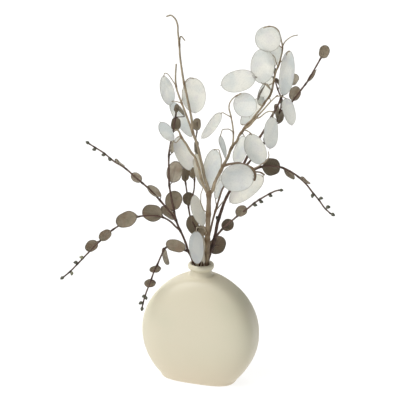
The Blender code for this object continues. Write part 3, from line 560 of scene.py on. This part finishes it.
def onStem(stem, pixel):
    # where the stem is seen nearest to a pixel: its depth there and the way it runs
    legs = np.diff(stem["pixels"], axis=0)
    share = ((pixel - stem["pixels"][:-1]) * legs).sum(axis=1) / (legs * legs).sum(axis=1)
    share = np.clip(share, 0.0, 1.0)
    gaps = np.linalg.norm(stem["pixels"][:-1] + legs * share[:, None] - pixel, axis=1)
    i = gaps.argmin()
    depth = stem["depths"][i] + (stem["depths"][i + 1] - stem["depths"][i]) * share[i]
    place = spots(stem["pixels"][i] + legs[i] * share[i], depth)[0]
    ends = spots(stem["pixels"][i:i + 2], stem["depths"][i:i + 2])
    return place, depth, unit(ends[1] - ends[0])


def growFrom(stem, place):
    # the point of the stem's line nearest to a place, kept as a joint of that stem
    i = np.linalg.norm(stem["line"] - place, axis=1).argmin()
    stem["joints"].append(runAlong(stem["line"])[i])
    return stem["line"][i]


def layStems(spray):
    # depth = root's + (tip's - root's) s / length, along the stem's pixels
    laid = {}
    for name, parent, tipDepth, startMm, endMm, pixels in spray["stems"]:
        flat = np.array(pixels, float)
        rootDepth = spray["mouth"][1] if parent is None else onStem(laid[parent], flat[0])[1]
        run = runAlong(flat)
        depths = rootDepth + (tipDepth - rootDepth) * run / run[-1]
        points = spots(flat, depths)
        if parent is None:
            stand = besideAxis(spray["foot"], flask["floorZ"] + stemMake["footGap"])
            points = np.vstack((stand, besideAxis(spray["mouth"], flask["mouthZ"]), points))
        else:
            points[0] = growFrom(laid[parent], points[0])
        radii = np.linspace(startMm, endMm, len(points)) * mm / 2
        line, radii = smoothRoute(points, radii, stemMake["step"])
        laid[name] = {"pixels": flat, "depths": depths, "line": line, "radii": radii, "joints": [],
                      "rooted": parent is None}
    return laid


def stemSkins(laid, ribDepth, deep):
    # r(s) = taper (1 + a collar at the root + a swelling round each joint + unevenness), and
    # paler as it thins
    skins = []
    for name, stem in laid.items():
        run, radii = runAlong(stem["line"]), stem["radii"]
        joints = np.array(stem["joints"] + [-1.0])
        reach = stemMake["nodeReach"] * radii.max() + stemMake["nodeLeast"]
        near = np.exp(-((run[:, None] - joints[None, :]) / reach) ** 2).max(axis=1)
        growth = 1 + stemMake["node"] * near
        if not stem["rooted"]:
            growth += stemMake["collar"] * np.exp(-run / (stemMake["collarReach"] * radii[0]))
        phase = chance.uniform(0, phaseSpan, 3)
        slow, slowWave, quick, quickWave = stemMake["uneven"]
        growth += slow * np.sin(run * slowWave + phase[0]) + quick * np.sin(run * quickWave + phase[1])
        ribs = [(count, ribDepth * share, phase[k], twist) for count, share, k, twist in stemMake["ribs"]]
        most, unitRadius = stemMake["pale"]
        thin = np.clip(most - radii / (unitRadius * mm), 0.0, 1.0)
        pale = chance.uniform(0.0, stemMake["paleChance"]) + stemMake["palest"] * thin
        tint = np.stack((pale, np.full(len(radii), deep.get(name, 0.0)), pale, np.ones(len(radii))), -1)
        skins.append(tube(stem["line"], radii * growth, stemMake["steps"], tint, ribs,
                          nodeTint=stemMake["nodeTint"] * near))
    return skins


def stalkSkin(points, knob):
    # r(s) = taper (1 + a knob just before its end + a collar at its root)
    line = softRoute(np.array(points), stalkMake["step"], stalkMake["passes"])
    run = runAlong(line)
    radii = np.interp(run / run[-1], (0.0, 1.0), (stalkMake["radius"], stalkMake["tipRadius"])) * mm
    seat = knob * np.exp(-((run[-1] - run - stalkMake["knobAt"]) / stalkMake["knobReach"]) ** 2)
    radii = radii * (1 + seat + stalkMake["collar"] * np.exp(-run / stalkMake["collarReach"]))
    tint = (chance.uniform(*stalkMake["tone"]), 0.0, 0.0, 1.0)
    return tube(line, radii, stalkMake["steps"], tint, stalkMake["ribs"],
                nodeTint=stalkMake["rootTint"] * np.exp(-run / stalkMake["rootReach"]))


def bladeSkin(make, middle, ways, length, width, foot, phase, tone):
    # p = middle + side x + along y + face z, with t from 0 in the middle to 1 at the edge:
    # x = ((W/2 - inset) t + outward) sin a |sin a|^(pinch at foot) (1 + swell cos 2a + unevenness),
    # y = ((L/2 - inset) t + outward) cos a (1 - point (1 - |cos a|^9)),
    # z = cup W (t^2 - 1) + waves that grow with t + lift.
    # The rows go out over the front, round the edge and back over the far side.
    along, side, face = ways
    half, steps = make["thick"] / 2, make["steps"]
    inset = make["edge"] * (1 - make["edgeIn"])
    count, power, other, otherPower, share = make["waves"]

    def place(t, a, outward=0.0, lift=0.0):
        atFoot = np.clip(foot * np.cos(a), 0.0, 1.0) ** 2
        wide = np.sign(np.sin(a)) * np.abs(np.sin(a)) ** (1 + make["pinch"] * atFoot)
        wide = wide * (1 + make["swell"] * np.cos(2 * a) + make["uneven"] * np.sin(5 * a + phase[2]))
        ends = 1 - make["point"] * (1 - np.abs(np.cos(a)) ** 9)
        wave = np.sin(count * a + phase[0]) * t**power
        wave = (wave + share * np.sin(other * a + phase[1]) * t**otherPower) * (1 - make["calm"] * atFoot**3)
        x = ((width / 2 - inset) * t + outward) * wide
        y = ((length / 2 - inset) * t + outward) * np.cos(a) * ends
        return x, y, make["cup"] * width * (t**2 - 1) + make["wave"] * wave + lift

    def inSpace(x, y, z):
        return middle + np.multiply.outer(x, side) + np.multiply.outer(y, along) + np.multiply.outer(z, face)

    def onBlade(t, a):
        return inSpace(*place(t, a))

    a = (fullTurn * np.arange(steps) / steps)[None, :]
    rows = np.array(make["rows"])[:, None]
    sweep = np.radians(np.array(make["edgeSweep"]))[:, None]
    out, up = make["edge"] * (np.cos(sweep) - make["edgeIn"]), make["edge"] * np.sin(sweep)
    layers = (place(rows, a, 0.0, half), place(np.ones_like(sweep), a, out, up),
              place(rows[::-1], a, 0.0, -half))
    x, y, z = (np.concatenate(values) for values in zip(*layers))
    centre = -make["cup"] * width
    poles = (middle + face * (centre + half), middle + face * (centre - half))
    plan = np.stack((0.5 + x / width, 0.5 - foot * y / length), -1).reshape(-1, 2)
    plan = np.concatenate((plan, [[0.5, 0.5], [0.5, 0.5]]))
    inner = len(rows) - make["edgeRows"]
    shade = np.zeros(len(x))
    shade[inner:len(x) - inner] = make["edgeTint"]
    tints = np.tile((tone, chance.uniform(), 0.0, 1.0), (len(plan), 1))
    tints[:-2, 2] = np.repeat(shade, steps)
    return skin(inSpace(x, y, z), None, tints, poles, plan), onBlade


def podSkins(middle, length, width, lean, turned, meets, tone):
    # the papery walls in one, the dried style, and the threads that run in from the rim
    ways, phase = bladeWays(lean, turned), chance.uniform(0, phaseSpan, 3)
    shell, onPod = bladeSkin(podMake, middle, ways, length, width, -1, phase, tone)
    near = 0.0 if meets == "top" else math.pi
    far = math.pi - near
    beak = chance.uniform(*podMake["beak"]) * mm
    tip = onPod(np.array(podMake["beakFrom"]), np.full(2, far))
    way = unit(tip[1] - tip[0])
    bend = ways[1] * chance.uniform(-podMake["beakBend"], podMake["beakBend"])
    beakLine = np.array([*tip, tip[1] + (way + bend * 0.5) * beak * 0.5, tip[1] + (way + bend) * beak])
    line, radii = smoothRoute(beakLine, np.array(podMake["beakRadii"]) * mm, stalkMake["step"])
    beakSteps, threadSteps = podMake["tubeSteps"]
    skins = [shell, tube(line, radii, beakSteps, (tone, 0.5, podMake["beakTint"], 1.0))]
    (spreads, first, more), (end, longer) = podMake["threadApart"], podMake["threadEnd"]
    stray, swings = podMake["threadStray"], podMake["threadSwing"]
    for k in range(podMake["threads"]):
        # by turns left and right of the seat, each pair further off
        apart = spreads * ((k % 2) * 2 - 1) * (first + more * (k // 2))
        start = far + math.pi * (1.0 + apart + chance.uniform(-stray, stray))
        thick = np.array(podMake["threadRadii"]) * mm
        share = np.linspace(1.0, end - chance.uniform(0, longer), len(thick))
        swing = start + (1 - share) * chance.uniform(-swings, swings)
        skins.append(tube(onPod(share, swing), thick, threadSteps, (tone, 0.5, podMake["threadTint"], 1.0)))
    return skins, onPod(np.array(podMake["seat"]), np.full(2, near))


def leafSkins(middle, length, width, lean, turned, foot, tone):
    # the leaf, and its rib from the foot to near the tip
    phase = chance.uniform(0, phaseSpan, 3)
    shell, onLeaf = bladeSkin(leafMake, middle, bladeWays(lean, turned), length, width, foot, phase, tone)
    near = 0.0 if foot > 0 else math.pi
    share = np.linspace(1.0, leafMake["ribEnd"], leafMake["ribPoints"])
    ribLine = onLeaf(np.abs(share), np.where(share > 0, near, math.pi - near))
    radii = np.linspace(*leafMake["ribRadii"], len(share)) * mm
    rib = tube(ribLine, radii, leafMake["ribSteps"], (tone, 0.5, leafMake["ribTint"], 1.0))
    return [shell, rib], onLeaf(np.array(leafMake["seat"]), np.full(2, near))


def budSkin(middle, way, pale):
    # r(t) = (W/2) sin(pi t^0.85)^0.75 with a groove at the cap, t from the foot to the tip
    size = chance.uniform(budMake["smallest"], 1.0)
    length, width = budMake["length"] * mm * size, budMake["width"] * mm * size
    t = np.linspace(*budMake["span"], budMake["rows"])
    deep, at, wide = budMake["groove"]
    radii = width / 2 * np.sin(math.pi * t**0.85) ** 0.75 * (1 - deep * np.exp(-((t - at) / wide) ** 2))
    line = middle + np.outer((t - 0.5) * length, way)
    tint = (pale, chance.uniform(), 0.0, 1.0)
    ribs = ((*budMake["ribs"], chance.uniform(0, phaseSpan), 0.0),)
    begin, slope = budMake["dark"]
    return tube(line, radii, budMake["steps"], tint, ribs, budMake["tips"],
                np.clip((t - begin) * slope, 0.0, 1.0))


def makeHonesty(spray):
    # stems first, then each pod on a stalk that follows its own way from the stem
    laid = layStems(spray)
    pods, stalks = [], []
    for stem, pixel, behind, length, width, lean, turned, meets, tone, way in spray["pods"]:
        place, depth, _ = onStem(laid[stem], np.array(way[0]))
        middle = spots(pixel, depth + behind)[0]
        skins, seat = podSkins(middle, length * mm, width * mm, lean, turned, meets, tone)
        points = [growFrom(laid[stem], place)]
        points += [spots(p, depth + behind * (i + 1) / len(way))[0] for i, p in enumerate(way[1:])]
        stalks.append(stalkSkin([*points, *seat], stalkMake["knob"]))
        pods += skins
    stems = stemSkins(laid, stemMake["honestyRib"], spray["deep"])
    makePiece(spray["node"], "stems", stems + stalks, honestyBark)
    makePiece(spray["node"], "pods", pods, honestyPaper)


def makeEucalyptus(spray):
    # stems first, then leaves whose petioles leave just below them, then buds
    laid = layStems(spray)
    leaves, petioles, buds = [], [], []
    for stem, pixel, behind, length, width, lean, turned, tone in spray["leaves"]:
        _, depth, way = onStem(laid[stem], np.array(pixel))
        middle = spots(pixel, depth + behind)[0]
        foot = -1 if bladeWays(lean, turned)[0] @ way > 0 else 1
        skins, seat = leafSkins(middle, length * mm, width * mm, lean, turned, foot, tone)
        root = growFrom(laid[stem], seat[0] - way * leafMake["seatBelow"])
        petioles.append(stalkSkin([root, *seat], 0.0))
        leaves += skins
    rows = [(stem, row) for stem, rows in spray["buds"].items() for row in rows]
    for stem, (x, y, *green) in rows:
        pixel, pale = (x, y), green[0] if green else budMake["green"]
        place, depth, way = onStem(laid[stem], np.array(pixel))
        middle = spots(pixel, depth)[0]
        root = growFrom(laid[stem], place)
        aside = middle - root
        if np.linalg.norm(aside) > budMake["width"] * mm * budMake["stalkFrom"]:
            way = unit(way + unit(aside))
            petioles.append(stalkSkin([root, root + aside * budMake["stalkBend"], middle], 0.0))
        buds.append(budSkin(middle, way, pale))
    stems = stemSkins(laid, stemMake["eucalyptusRib"], {})
    makePiece(spray["node"], "stems", stems + petioles, eucalyptusBark)
    makePiece(spray["node"], "leaves", leaves, eucalyptusLeaf)
    makePiece(spray["node"], "buds", buds, eucalyptusBud)


# The honesty. A stem is its name, what it grows from, the depth of its tip, its thickness
# in millimetres at both ends and its way. A pod is its stem, its middle, how far behind
# the stem it is, its length and width, its lean and turn in degrees, the end that its
# stalk meets, its tone (1 is creamy, 2 still in its brown husk, below 0 grey: painted shade
# for a pod that sits in shade), and its stalk's way. The stems named under deep are darker
# than the rest.
honestyMain = {
    "deep": {"arch": 0.75, "trunk": 0.35, "archTwig": 0.3, "limbD": 0.12},
    "node": "honesty_main", "foot": (6, 8), "mouth": (9, -2),
    "stems": (
        ("trunk", None, -4, 7.2, 6.6, ((207.6, 250), (207.6, 240), (208, 225), (208.7, 210), (209, 198),
            (209, 191))),
        ("limbA", "trunk", 12, 4.7, 2.2, ((209, 192), (207.3, 186), (205, 179), (202, 165), (200, 157),
            (198, 148), (195.6, 140), (192.6, 132), (191.8, 121), (188.9, 106), (186, 92), (183.4, 80),
            (181.4, 67), (180, 56), (179.3, 44), (178, 32.5), (177.4, 24), (175.3, 19), (170.7, 15.3),
            (166.5, 16.5))),
        ("limbALoop", "limbA", 16, 2, 1.6, ((179.2, 44), (181, 36.4), (185, 40.6))),
        ("limbB", "limbA", 44, 3, 2.2, ((191.9, 131.8), (186.8, 116.5), (182, 103.7), (179, 96),
            (176.5, 88), (175.6, 80), (175.7, 73), (176.3, 64))),
        ("limbBTwig", "limbB", 24, 1.6, 1.3, ((181.7, 103.4), (182.3, 97), (182.4, 90))),
        ("limbC", "trunk", -18, 4.3, 2.4, ((208.6, 195), (206, 190), (202, 180.6), (198.3, 166.5),
            (194.4, 156.5), (191, 152), (186.8, 145), (181.4, 137), (177.2, 130), (175, 130))),
        ("limbD", "trunk", 14, 5, 2, ((209.4, 194), (212.6, 190.5), (214.4, 184), (217, 178), (220.3, 172),
            (223.7, 165), (228, 157), (230.6, 150), (233.4, 145), (237, 141), (239, 136), (242.5, 131.3),
            (246.4, 125.6), (251.3, 120.6), (256, 114.5), (261.3, 108), (265.5, 101.5), (270, 95.6),
            (272, 90), (273.8, 81), (276, 71.5), (279.3, 63.6), (280.8, 57.8), (282.4, 50), (282.5, 45))),
        ("limbDCrook", "limbD", 4, 2, 1.6, ((282.5, 46), (281.4, 41), (280, 35), (278, 30), (273, 26.8),
            (268.4, 26.5), (263.5, 28))),
        ("limbDTip", "limbD", 20, 1.8, 1.4, ((282.5, 46), (284.8, 42), (288.3, 38.7), (292, 36.4),
            (297.8, 35))),
        ("limbDSpur", "limbD", 22, 1.6, 1.3, ((281.8, 48), (279, 45.2), (276.8, 43.7))),
        ("limbDHook", "limbD", 2, 1.6, 1.3, ((277.6, 67), (275.6, 61), (274.5, 57), (272.6, 54.8))),
        ("sideUp", "limbD", -36, 2.6, 1.6, ((231.4, 148), (233, 142), (233.3, 132), (232.4, 124),
            (230.6, 115), (229, 107), (229.6, 103.4), (232, 99.4), (236, 96), (241, 93.8))),
        ("sideTwo", "limbD", -14, 3.2, 1.5, ((245.2, 128.6), (248.6, 126.2), (253.2, 121.4), (257.2, 116.4),
            (262.2, 111.2), (266.2, 106.6), (270.7, 101.6), (274, 98.4), (277.8, 95.2))),
        ("sideThree", "sideTwo", -34, 2.2, 1.5, ((255.6, 118.4), (258.4, 118), (261.2, 116.2), (265.2, 113),
            (269.2, 111.4), (272.8, 111.7))),
        ("sideLink", "limbD", 2, 1.5, 1.3, ((268.6, 96.8), (270, 99), (270.6, 101.4))),
        ("sideFour", "limbD", -12, 2, 1.4, ((243.4, 130), (246.6, 130.6), (249.6, 132.4), (251.6, 135))),
        ("arch", "limbD", -34, 3.4, 4.4, ((223.4, 166), (229, 164.2), (233, 163.6), (238.3, 163.3),
            (243.2, 164.5), (247.8, 166), (252.4, 169), (254.7, 172.5), (255, 176.4), (253.6, 180))),
        ("archTwig", "arch", -40, 1.8, 1.3, ((252.4, 169), (257, 167), (262, 164), (266.4, 160.8),
            (268.8, 156.8), (268.4, 151.6))),
    ),
    "pods": (
        ("limbA", (194, 95.4), 9, 52, 37, -3, 8, "top", 0.2, ((184.6, 84), (186.6, 80), (189.6, 77.8))),
        ("limbB", (167, 90.5), 4, 45, 34, -12, 53, "top", 0, ((175.7, 86), (171, 78), (167.5, 73.6),
            (164.4, 73))),
        ("limbB", (181.2, 119), 12, 61, 30, -30, 48, "top", 0, ((181.7, 103.4), (178.4, 102),
            (174, 101))),
        ("limbC", (166.6, 131.8), -5, 33, 26, -34, 46, "foot", 0, ((181, 137), (176, 143))),
        ("limbC", (183.6, 153.6), 7, 53, 34, -21, 45, "top", 0.15, ((181.4, 137), (179.4, 136))),
        ("trunk", (198.2, 210.6), -8, 48, 34, -17, 57, "foot", 0.35, ((207.8, 240), (206.4, 233))),
        ("trunk", (199.4, 170.4), 9, 52, 28, -12, 58, "foot", 0.7, ((208, 214), (203.4, 210),
            (200.7, 203), (200.8, 194))),
        # its tone below 0 is painted shade: this pod sits in shade low by the neck
        ("trunk", (196.6, 247.6), -15, 49, 34, -2, -46, "top", -0.35, ((207.6, 233), (202, 227.4),
            (196.6, 227))),
        ("trunk", (203.6, 250), -3, 42, 22, -2, 66, "top", 0.85, ((207.6, 240), (206, 234))),
        ("limbDCrook", (268, 39), -1, 38, 40, 4, 8, "top", 0.15, ((269.4, 26.6), (267.4, 26.2))),
        ("limbD", (262.6, 66), -13, 51, 37, 4, 6, "foot", 0.15, ((273.4, 83), (268, 85.6))),
        ("limbD", (261.4, 91.6), -3, 28, 14, 27, 80, "top", 2, ((271.6, 91.4), (268, 84.6))),
        ("limbDSpur", (274, 54), 3, 33, 30, 4, 34, "top", 0.15, ((277.6, 44.2), (275.4, 42.6))),
        ("limbD", (238.4, 81), -20, 51, 33, 76, 6, "top", 0.15, ((271.4, 91), (266, 85), (260, 79))),
        ("limbD", (286.8, 73), -6, 66, 36, 8, 47, "top", 0, ((279.6, 63), (284.4, 58.6), (287.4, 52.4))),
        ("sideUp", (245, 105), -2, 36, 35, -20, 6, "top", 0, ((236.8, 95.6), (240.6, 93.4))),
        ("limbD", (265.6, 91.2), 15, 46, 33, 25, 56, "foot", 0.15, ((264.4, 103), (262.6, 105.6))),
        ("limbD", (252, 110.8), 12, 53, 30, 39, 52, "foot", 0.15, ((247.4, 124.4), (244, 125))),
        ("sideThree", (271.2, 132.7), -2, 46, 33, 5, 45, "top", 0, ((272.6, 111.4), (273.6, 114.4))),
        ("sideUp", (211.8, 125.8), -4, 46, 30, 37, 62, "top", 0.15, ((231, 117), (227, 115),
            (222.6, 112.4))),
        ("sideUp", (223, 147), -2, 34, 28, -14, 72, "top", 0, ((233, 132.4), (229, 129),
            (222.4, 129.4))),
        ("sideTwo", (289, 111.6), -2, 40, 29, -13, 44, "top", 0, ((276.4, 96.6), (281.6, 96))),
        ("sideFour", (255.4, 149), -2, 48, 34, -24, 20, "top", 0.15, ((250.6, 133.4), (251.8, 134))),
        ("limbD", (240.5, 150), 6, 44, 33, 16, 52, "top", 0, ((241.4, 133), (243.6, 134.4))),
        ("limbD", (212.6, 169), 8, 60, 34, 5, 33, "top", 0, ((220.6, 171.4), (221.6, 160),
            (219, 149.6))),
        ("arch", (237.6, 177.8), -2, 49, 43, 82, 6, "top", -0.06, ((254, 179), (254, 178))),
    ),
}
makeHonesty(honestyMain)

honestyBack = {
    "deep": {"backStem": 0.85, "backTwig": 0.5},
    "node": "honesty_back", "foot": (-14, 16), "mouth": (4, 10),
    "stems": (
        ("backStem", None, 16, 3.6, 2, ((206.4, 246), (209.4, 235), (211.4, 226), (213.2, 218.5),
            (215.7, 210), (219.3, 198), (223, 188), (229, 181), (238, 175.6), (248, 172.6), (256, 171.8),
            (261, 172.6), (264, 174.6))),
        ("backTwig", "backStem", 11, 1.8, 1.4, ((215.4, 211), (219, 206.6), (221.8, 203), (224.4, 200))),
    ),
    "pods": (
        ("backStem", (246.5, 189), -2, 64, 30, 52, 12, "top", 0.3, ((262, 173), (265, 174.4))),
        ("backStem", (219.6, 186), 6, 41, 27, 17, 64, "foot", 0, ((216.8, 206), (215.6, 201))),
    ),
}
makeHonesty(honestyBack)

# The eucalyptus. A leaf is its stem, its middle, how far behind the stem it is, its length
# and width, its lean and turn, and its tone from 0, dark, to 1, pale. A bud is its middle
# and, if it is green, how green.
eucalyptusLeft = {
    "node": "eucalyptus_left", "foot": (12, -8), "mouth": (-9.6, 0),
    "stems": (
        ("main", None, -2, 3.8, 2.2, ((190.6, 255.5), (188, 250.6), (186, 244), (183, 236.4), (179, 228),
            (176, 220), (173.4, 207.7), (170.8, 195), (169.2, 184), (168.8, 169), (169.2, 152),
            (170.9, 141.7), (173, 131), (175.3, 119), (176.4, 110))),
        ("up", "main", 46, 3.2, 2.1, ((176.4, 221), (173, 216), (164.4, 205.4), (155.8, 195.7), (147, 187),
            (136.3, 178), (125.4, 168.4), (114, 161.3), (103, 152.4), (94.4, 147), (88.6, 143.4))),
        ("across", "main", -64, 3, 2.1, ((180, 230), (176, 227), (171, 222), (161.8, 217), (150, 215.6),
            (138, 216.8), (126, 222), (113.8, 229), (100.4, 240.6), (89.5, 251.5), (77.4, 264), (70, 271.6),
            (63, 277.4))),
        ("down", "main", -26, 3, 2.1, ((188.4, 251.4), (184.7, 250), (175, 246.4), (165.8, 247.7),
            (161.4, 255.4), (157.7, 263.8), (154.3, 271), (150.3, 282.4), (146.8, 291), (143.9, 300),
            (142, 308))),
    ),
    "leaves": (
        ("main", (173.6, 200.6), 3, 30, 27, 20, 10, 0.5),
        ("main", (174.6, 172), 5, 33, 25, 14, 10, 0.94),
        ("main", (172.8, 146.4), 4, 21, 18, 8, 62, 1),
        ("main", (175.8, 124.2), 3, 20, 17, 4, 25, 0.35),
        ("main", (176.6, 108.4), -3, 12, 10, 6, 40, 0.44),
        ("main", (180.8, 110.4), 2, 22, 12, -33, 67, 0.75),
        ("up", (168, 213), 4, 28, 20, -46, 52, 0.72),
        ("up", (154.4, 191.2), 3, 26, 21, -52, 54, 0.83),
        ("up", (136.5, 177.6), 3, 19, 15, -50, 14, 0.85),
        ("up", (119.8, 163.2), 3, 19, 16, -50, 74, 1),
        ("across", (152.4, 213), 3, 31, 27, 100, 10, 0.38),
        ("across", (126.5, 219.4), -4, 33, 24, 66, 8, 0.5),
        ("across", (105.2, 235.2), -4, 21, 16, 50, 14, 0.42),
        ("across", (91.6, 245.8), 3, 21, 17, 52, 10, 0.4),
        ("down", (175.8, 245.8), -5, 31, 20, 106, 10, 0.5),
        ("down", (165.4, 256.4), 4, 27, 20, -16, 66, 1),
        ("down", (155.3, 269.2), 3, 18, 11.5, 80, 12, 0.42),
        ("down", (150.1, 283.2), 3, 18, 13.5, 84, 10, 0.42),
    ),
    "buds": {
        "up": ((87.5, 142.6), (94.2, 149.4), (103.4, 154.8), (109.8, 159.3)),
        "across": ((62, 278), (81.4, 257.2, 0.8), (75.6, 262.4), (71.8, 273.5, 0.5)),
        "down": ((142, 309), (143.6, 296.2), (146, 298), (140.6, 303)),
    },
}
makeEucalyptus(eucalyptusLeft)

eucalyptusMiddle = {
    "node": "eucalyptus_middle", "foot": (14, -14), "mouth": (-1, 4),
    "stems": (
        ("main", None, 24, 3, 2.2, ((202, 250), (199.8, 239), (195.6, 228), (191, 219), (188.8, 209),
            (188, 199), (186.6, 190), (185.4, 181), (184, 170))),
        ("twin", "main", 40, 2.6, 1.8, ((188.6, 206), (191.4, 199), (193.8, 191), (194.6, 180),
            (195.2, 168), (196.2, 154), (195.4, 142), (197, 131), (197, 122))),
        ("spur", "main", 4.2, 1.8, 1.4, ((201.4, 246), (203.6, 250), (205.6, 254.6))),
    ),
    "leaves": (
        ("main", (185.6, 173.6), -2, 24, 20, 8, 52, 0.25),
        ("main", (188.4, 198.6), -3, 20, 19, 10, 20, 0.12),
        ("main", (192.6, 224.8), -4, 29, 25, -8, 40, 0.26),
        ("main", (200.4, 231.8), 3, 21, 19, 30, 20, 0.58),
        ("twin", (192.8, 172.8), -3, 17, 12, 4, 20, 0.36),
        ("twin", (196.9, 124.4), -2, 19, 16, 4, 32, 0.58),
        ("twin", (196.4, 147.2), -2, 19, 14, 2, 58, 0.45),
    ),
    "buds": {"main": ((182.8, 165.4),), "twin": ((198, 154),), "spur": ((205.6, 255),)},
}
makeEucalyptus(eucalyptusMiddle)

eucalyptusRight = {
    "node": "eucalyptus_right", "foot": (-8, 6), "mouth": (9.5, 5.5),
    "stems": (
        ("main", None, 52, 5.2, 3, ((211.4, 249), (214.2, 240.5), (215.8, 232), (218, 221), (221.3, 211),
            (225.4, 199.6), (231, 189), (237.4, 177), (243.6, 164.6), (246.4, 158.6), (250.4, 151),
            (255, 144), (260.6, 136), (266, 127.4), (270.8, 118.4), (274.4, 111.6), (277.6, 105.6),
            (280.2, 100.6), (281.4, 96.6))),
        ("twin", "main", 61, 3.5, 2.5, ((242.6, 167), (247, 164.4), (250.4, 160.6), (255.4, 154.6),
            (262, 146), (268, 137), (274, 127), (279, 116), (280.6, 109), (282, 99))),
        ("topLeft", "main", 40, 2.4, 1.7, ((281, 97.4), (278.8, 92), (276.4, 85), (274.7, 78), (274.4, 68),
            (275, 59))),
        ("topRight", "main", 64, 2.8, 1.8, ((281.4, 98), (284.4, 92.6), (287.4, 87.2), (290, 83.4),
            (292.6, 79.6))),
        ("topOut", "twin", 30, 3, 2.2, ((280, 112), (286, 107), (292, 101.5), (297, 95.5), (301, 90),
            (307.8, 81), (312.6, 72.6), (318, 63.2), (323.6, 53))),
        ("arch", "main", -30, 3.4, 2.1, ((237.4, 177), (245.4, 172.6), (253.4, 170), (262.6, 166.4),
            (271.5, 166), (281, 167.3), (290.2, 171.3), (298.5, 177), (306.3, 184.4), (313, 193),
            (318.9, 200), (324.6, 208), (330.4, 213.6))),
        ("low", "main", -48, 3.2, 2.2, ((214.6, 238.6), (218.6, 233.4), (224, 227.4), (231.5, 221),
            (240, 214), (247, 209), (255, 202.5), (262, 198), (270, 193.5), (276, 190.8), (280, 190))),
        ("shade", "main", 18, 2, 1.6, ((212.6, 246), (215.4, 245.4), (219, 245.2))),
    ),
    "leaves": (
        ("shade", (217.4, 245.2), 3, 30, 27, 30, 16, 0.26),
        ("low", (227.6, 225), 3, 20, 19, 50, 10, 0.08),
        ("low", (241.2, 211), -3, 19, 17, 52, 12, 0.48),
        ("arch", (271.3, 166.9), 3, 27, 28, 80, 10, 0.15),
        ("arch", (289.2, 174), 3, 22, 16, -48, 54, 0.8),
        ("arch", (305.2, 180.4), -3, 18, 15, -56, 66, 1),
        ("main", (277.2, 111.6), 4, 24, 16, -8, 50, 1),
        # this leaf's dark tone is painted shade: it stands for the shaded, folded half of the pale leaf
        # above
        ("main", (281, 117), 5, 22, 16, 22, 55, 0.15),
        ("topLeft", (278.3, 82), 2, 14, 10, -28, 50, 0.12),
        ("topRight", (294.2, 79.6), -3, 18, 16, 30, 30, 1),
        ("topRight", (290, 80), 3, 13, 10, 15, 46, 0.7),
        ("topOut", (294.9, 93.6), 4, 23, 18.5, 20, 10, 0.68),
        ("topOut", (311.6, 76), 3, 25, 14, 38, 68, 0.4),
        ("topOut", (324.2, 51.8), -2, 20, 17, 20, 10, 0.5),
        ("twin", (266.5, 137.5), 3, 14, 12, 34, 40, 0.25),
    ),
    "buds": {
        "main": ((217.3, 218),),
        "arch": ((333, 214.6), (312.4, 195.8), (321.2, 198.2), (328.2, 207)),
        "low": ((281.4, 190.2), (270.6, 195.6), (261.3, 201.7), (255.2, 205)),
        "topLeft": ((274, 65.4), (275.2, 70), (273.4, 78), (275.2, 58)),
        "twin": ((281.4, 102),),
    },
}
makeEucalyptus(eucalyptusRight)


# The camera, the floor and the light

studio = {
    "floorHalf": 14.0, "floorColour": "8A8A88", "floorGlow": 0.85,
    "floorRough": 0.9, "floorShine": 0.1,
    "skyStrength": 0.08,
    # strength, softness, height and how far left of the eye, in degrees
    "lamps": {
        "key": (2.2, 50.0, 48.0, 64.0),
        "top": (0.6, 50.0, 72.0, 0.0),
        "back": (3.15, 50.0, 16.0, 162.0),
    },
}


def aim(thing, way, axis):
    # turns the thing's own axis to point along the way
    thing.rotation_mode = "QUATERNION"
    thing.rotation_quaternion = Vector(way).to_track_quat(axis, "Y")


def makeCamera():
    # its lens sees the picture's size at the picture's distance
    data = bpy.data.cameras.new("camera")
    data.sensor_width = seen["sensor"]
    data.lens = seen["sensor"] * seen["distance"] / (seen["frameSize"] * seen["pixel"])
    data.shift_x = (seen["frameMiddle"] - seen["axisX"]) / seen["frameSize"]
    data.clip_end = 100.0
    camera = addObject("camera", data)
    camera.location = eye
    aim(camera, -eyeWay, "-Z")
    bpy.context.scene.camera = camera


def makeFloor():
    # a plain pale table top that reaches out of sight
    half = studio["floorHalf"]
    mesh = bpy.data.meshes.new("floor")
    mesh.from_pydata([(-half, -half, 0.0), (half, -half, 0.0), (half, half, 0.0), (-half, half, 0.0)], [],
                     [(0, 1, 2, 3)])
    material = bpy.data.materials.new("floor")
    material.use_nodes = True
    shader = material.node_tree.nodes["Principled BSDF"]
    for name, value in (("Base Color", paint(studio["floorColour"])), ("Roughness", studio["floorRough"]),
                        ("Specular IOR Level", studio["floorShine"]), ("Emission Color", white),
                        ("Emission Strength", studio["floorGlow"])):
        shader.inputs[name].default_value = value
    mesh.materials.append(material)
    floor = addObject("floor", mesh)


def makeLight():
    # a soft lamp up on the left, a weak one above and one low behind; the sky gives a little
    # light, and is seen as white as the floor
    world = bpy.data.worlds.new("studio")
    world.use_nodes = True
    tree = world.node_tree
    sky = tree.nodes["Background"]
    sky.inputs["Color"].default_value = white
    sky.inputs["Strength"].default_value = studio["skyStrength"]
    backdrop = addNode(tree, "ShaderNodeBackground", {"Color": white})
    looked = addNode(tree, "ShaderNodeLightPath").outputs["Is Camera Ray"]
    both = addNode(tree, "ShaderNodeMixShader", {0: looked, 1: sky.outputs[0], 2: backdrop.outputs[0]})
    tree.links.new(both.outputs[0], tree.nodes["World Output"].inputs["Surface"])
    bpy.context.scene.world = world
    for name, (strength, soft, high, left) in studio["lamps"].items():
        data = bpy.data.lights.new(name, "SUN")
        data.energy = strength
        data.angle = math.radians(soft)
        lamp = addObject(name, data)
        lamp.visible_glossy = name != "back"       # its glare would bleach the vase's edge
        high, left = math.radians(high), math.radians(left)
        level = -backWay * math.cos(left) - rightWay * math.sin(left)
        aim(lamp, level * math.cos(high) + np.array((0.0, 0.0, math.sin(high))), "Z")
    bpy.context.scene.view_settings.view_transform = "Standard"


makeCamera()
makeFloor()
makeLight()
print("studio made")
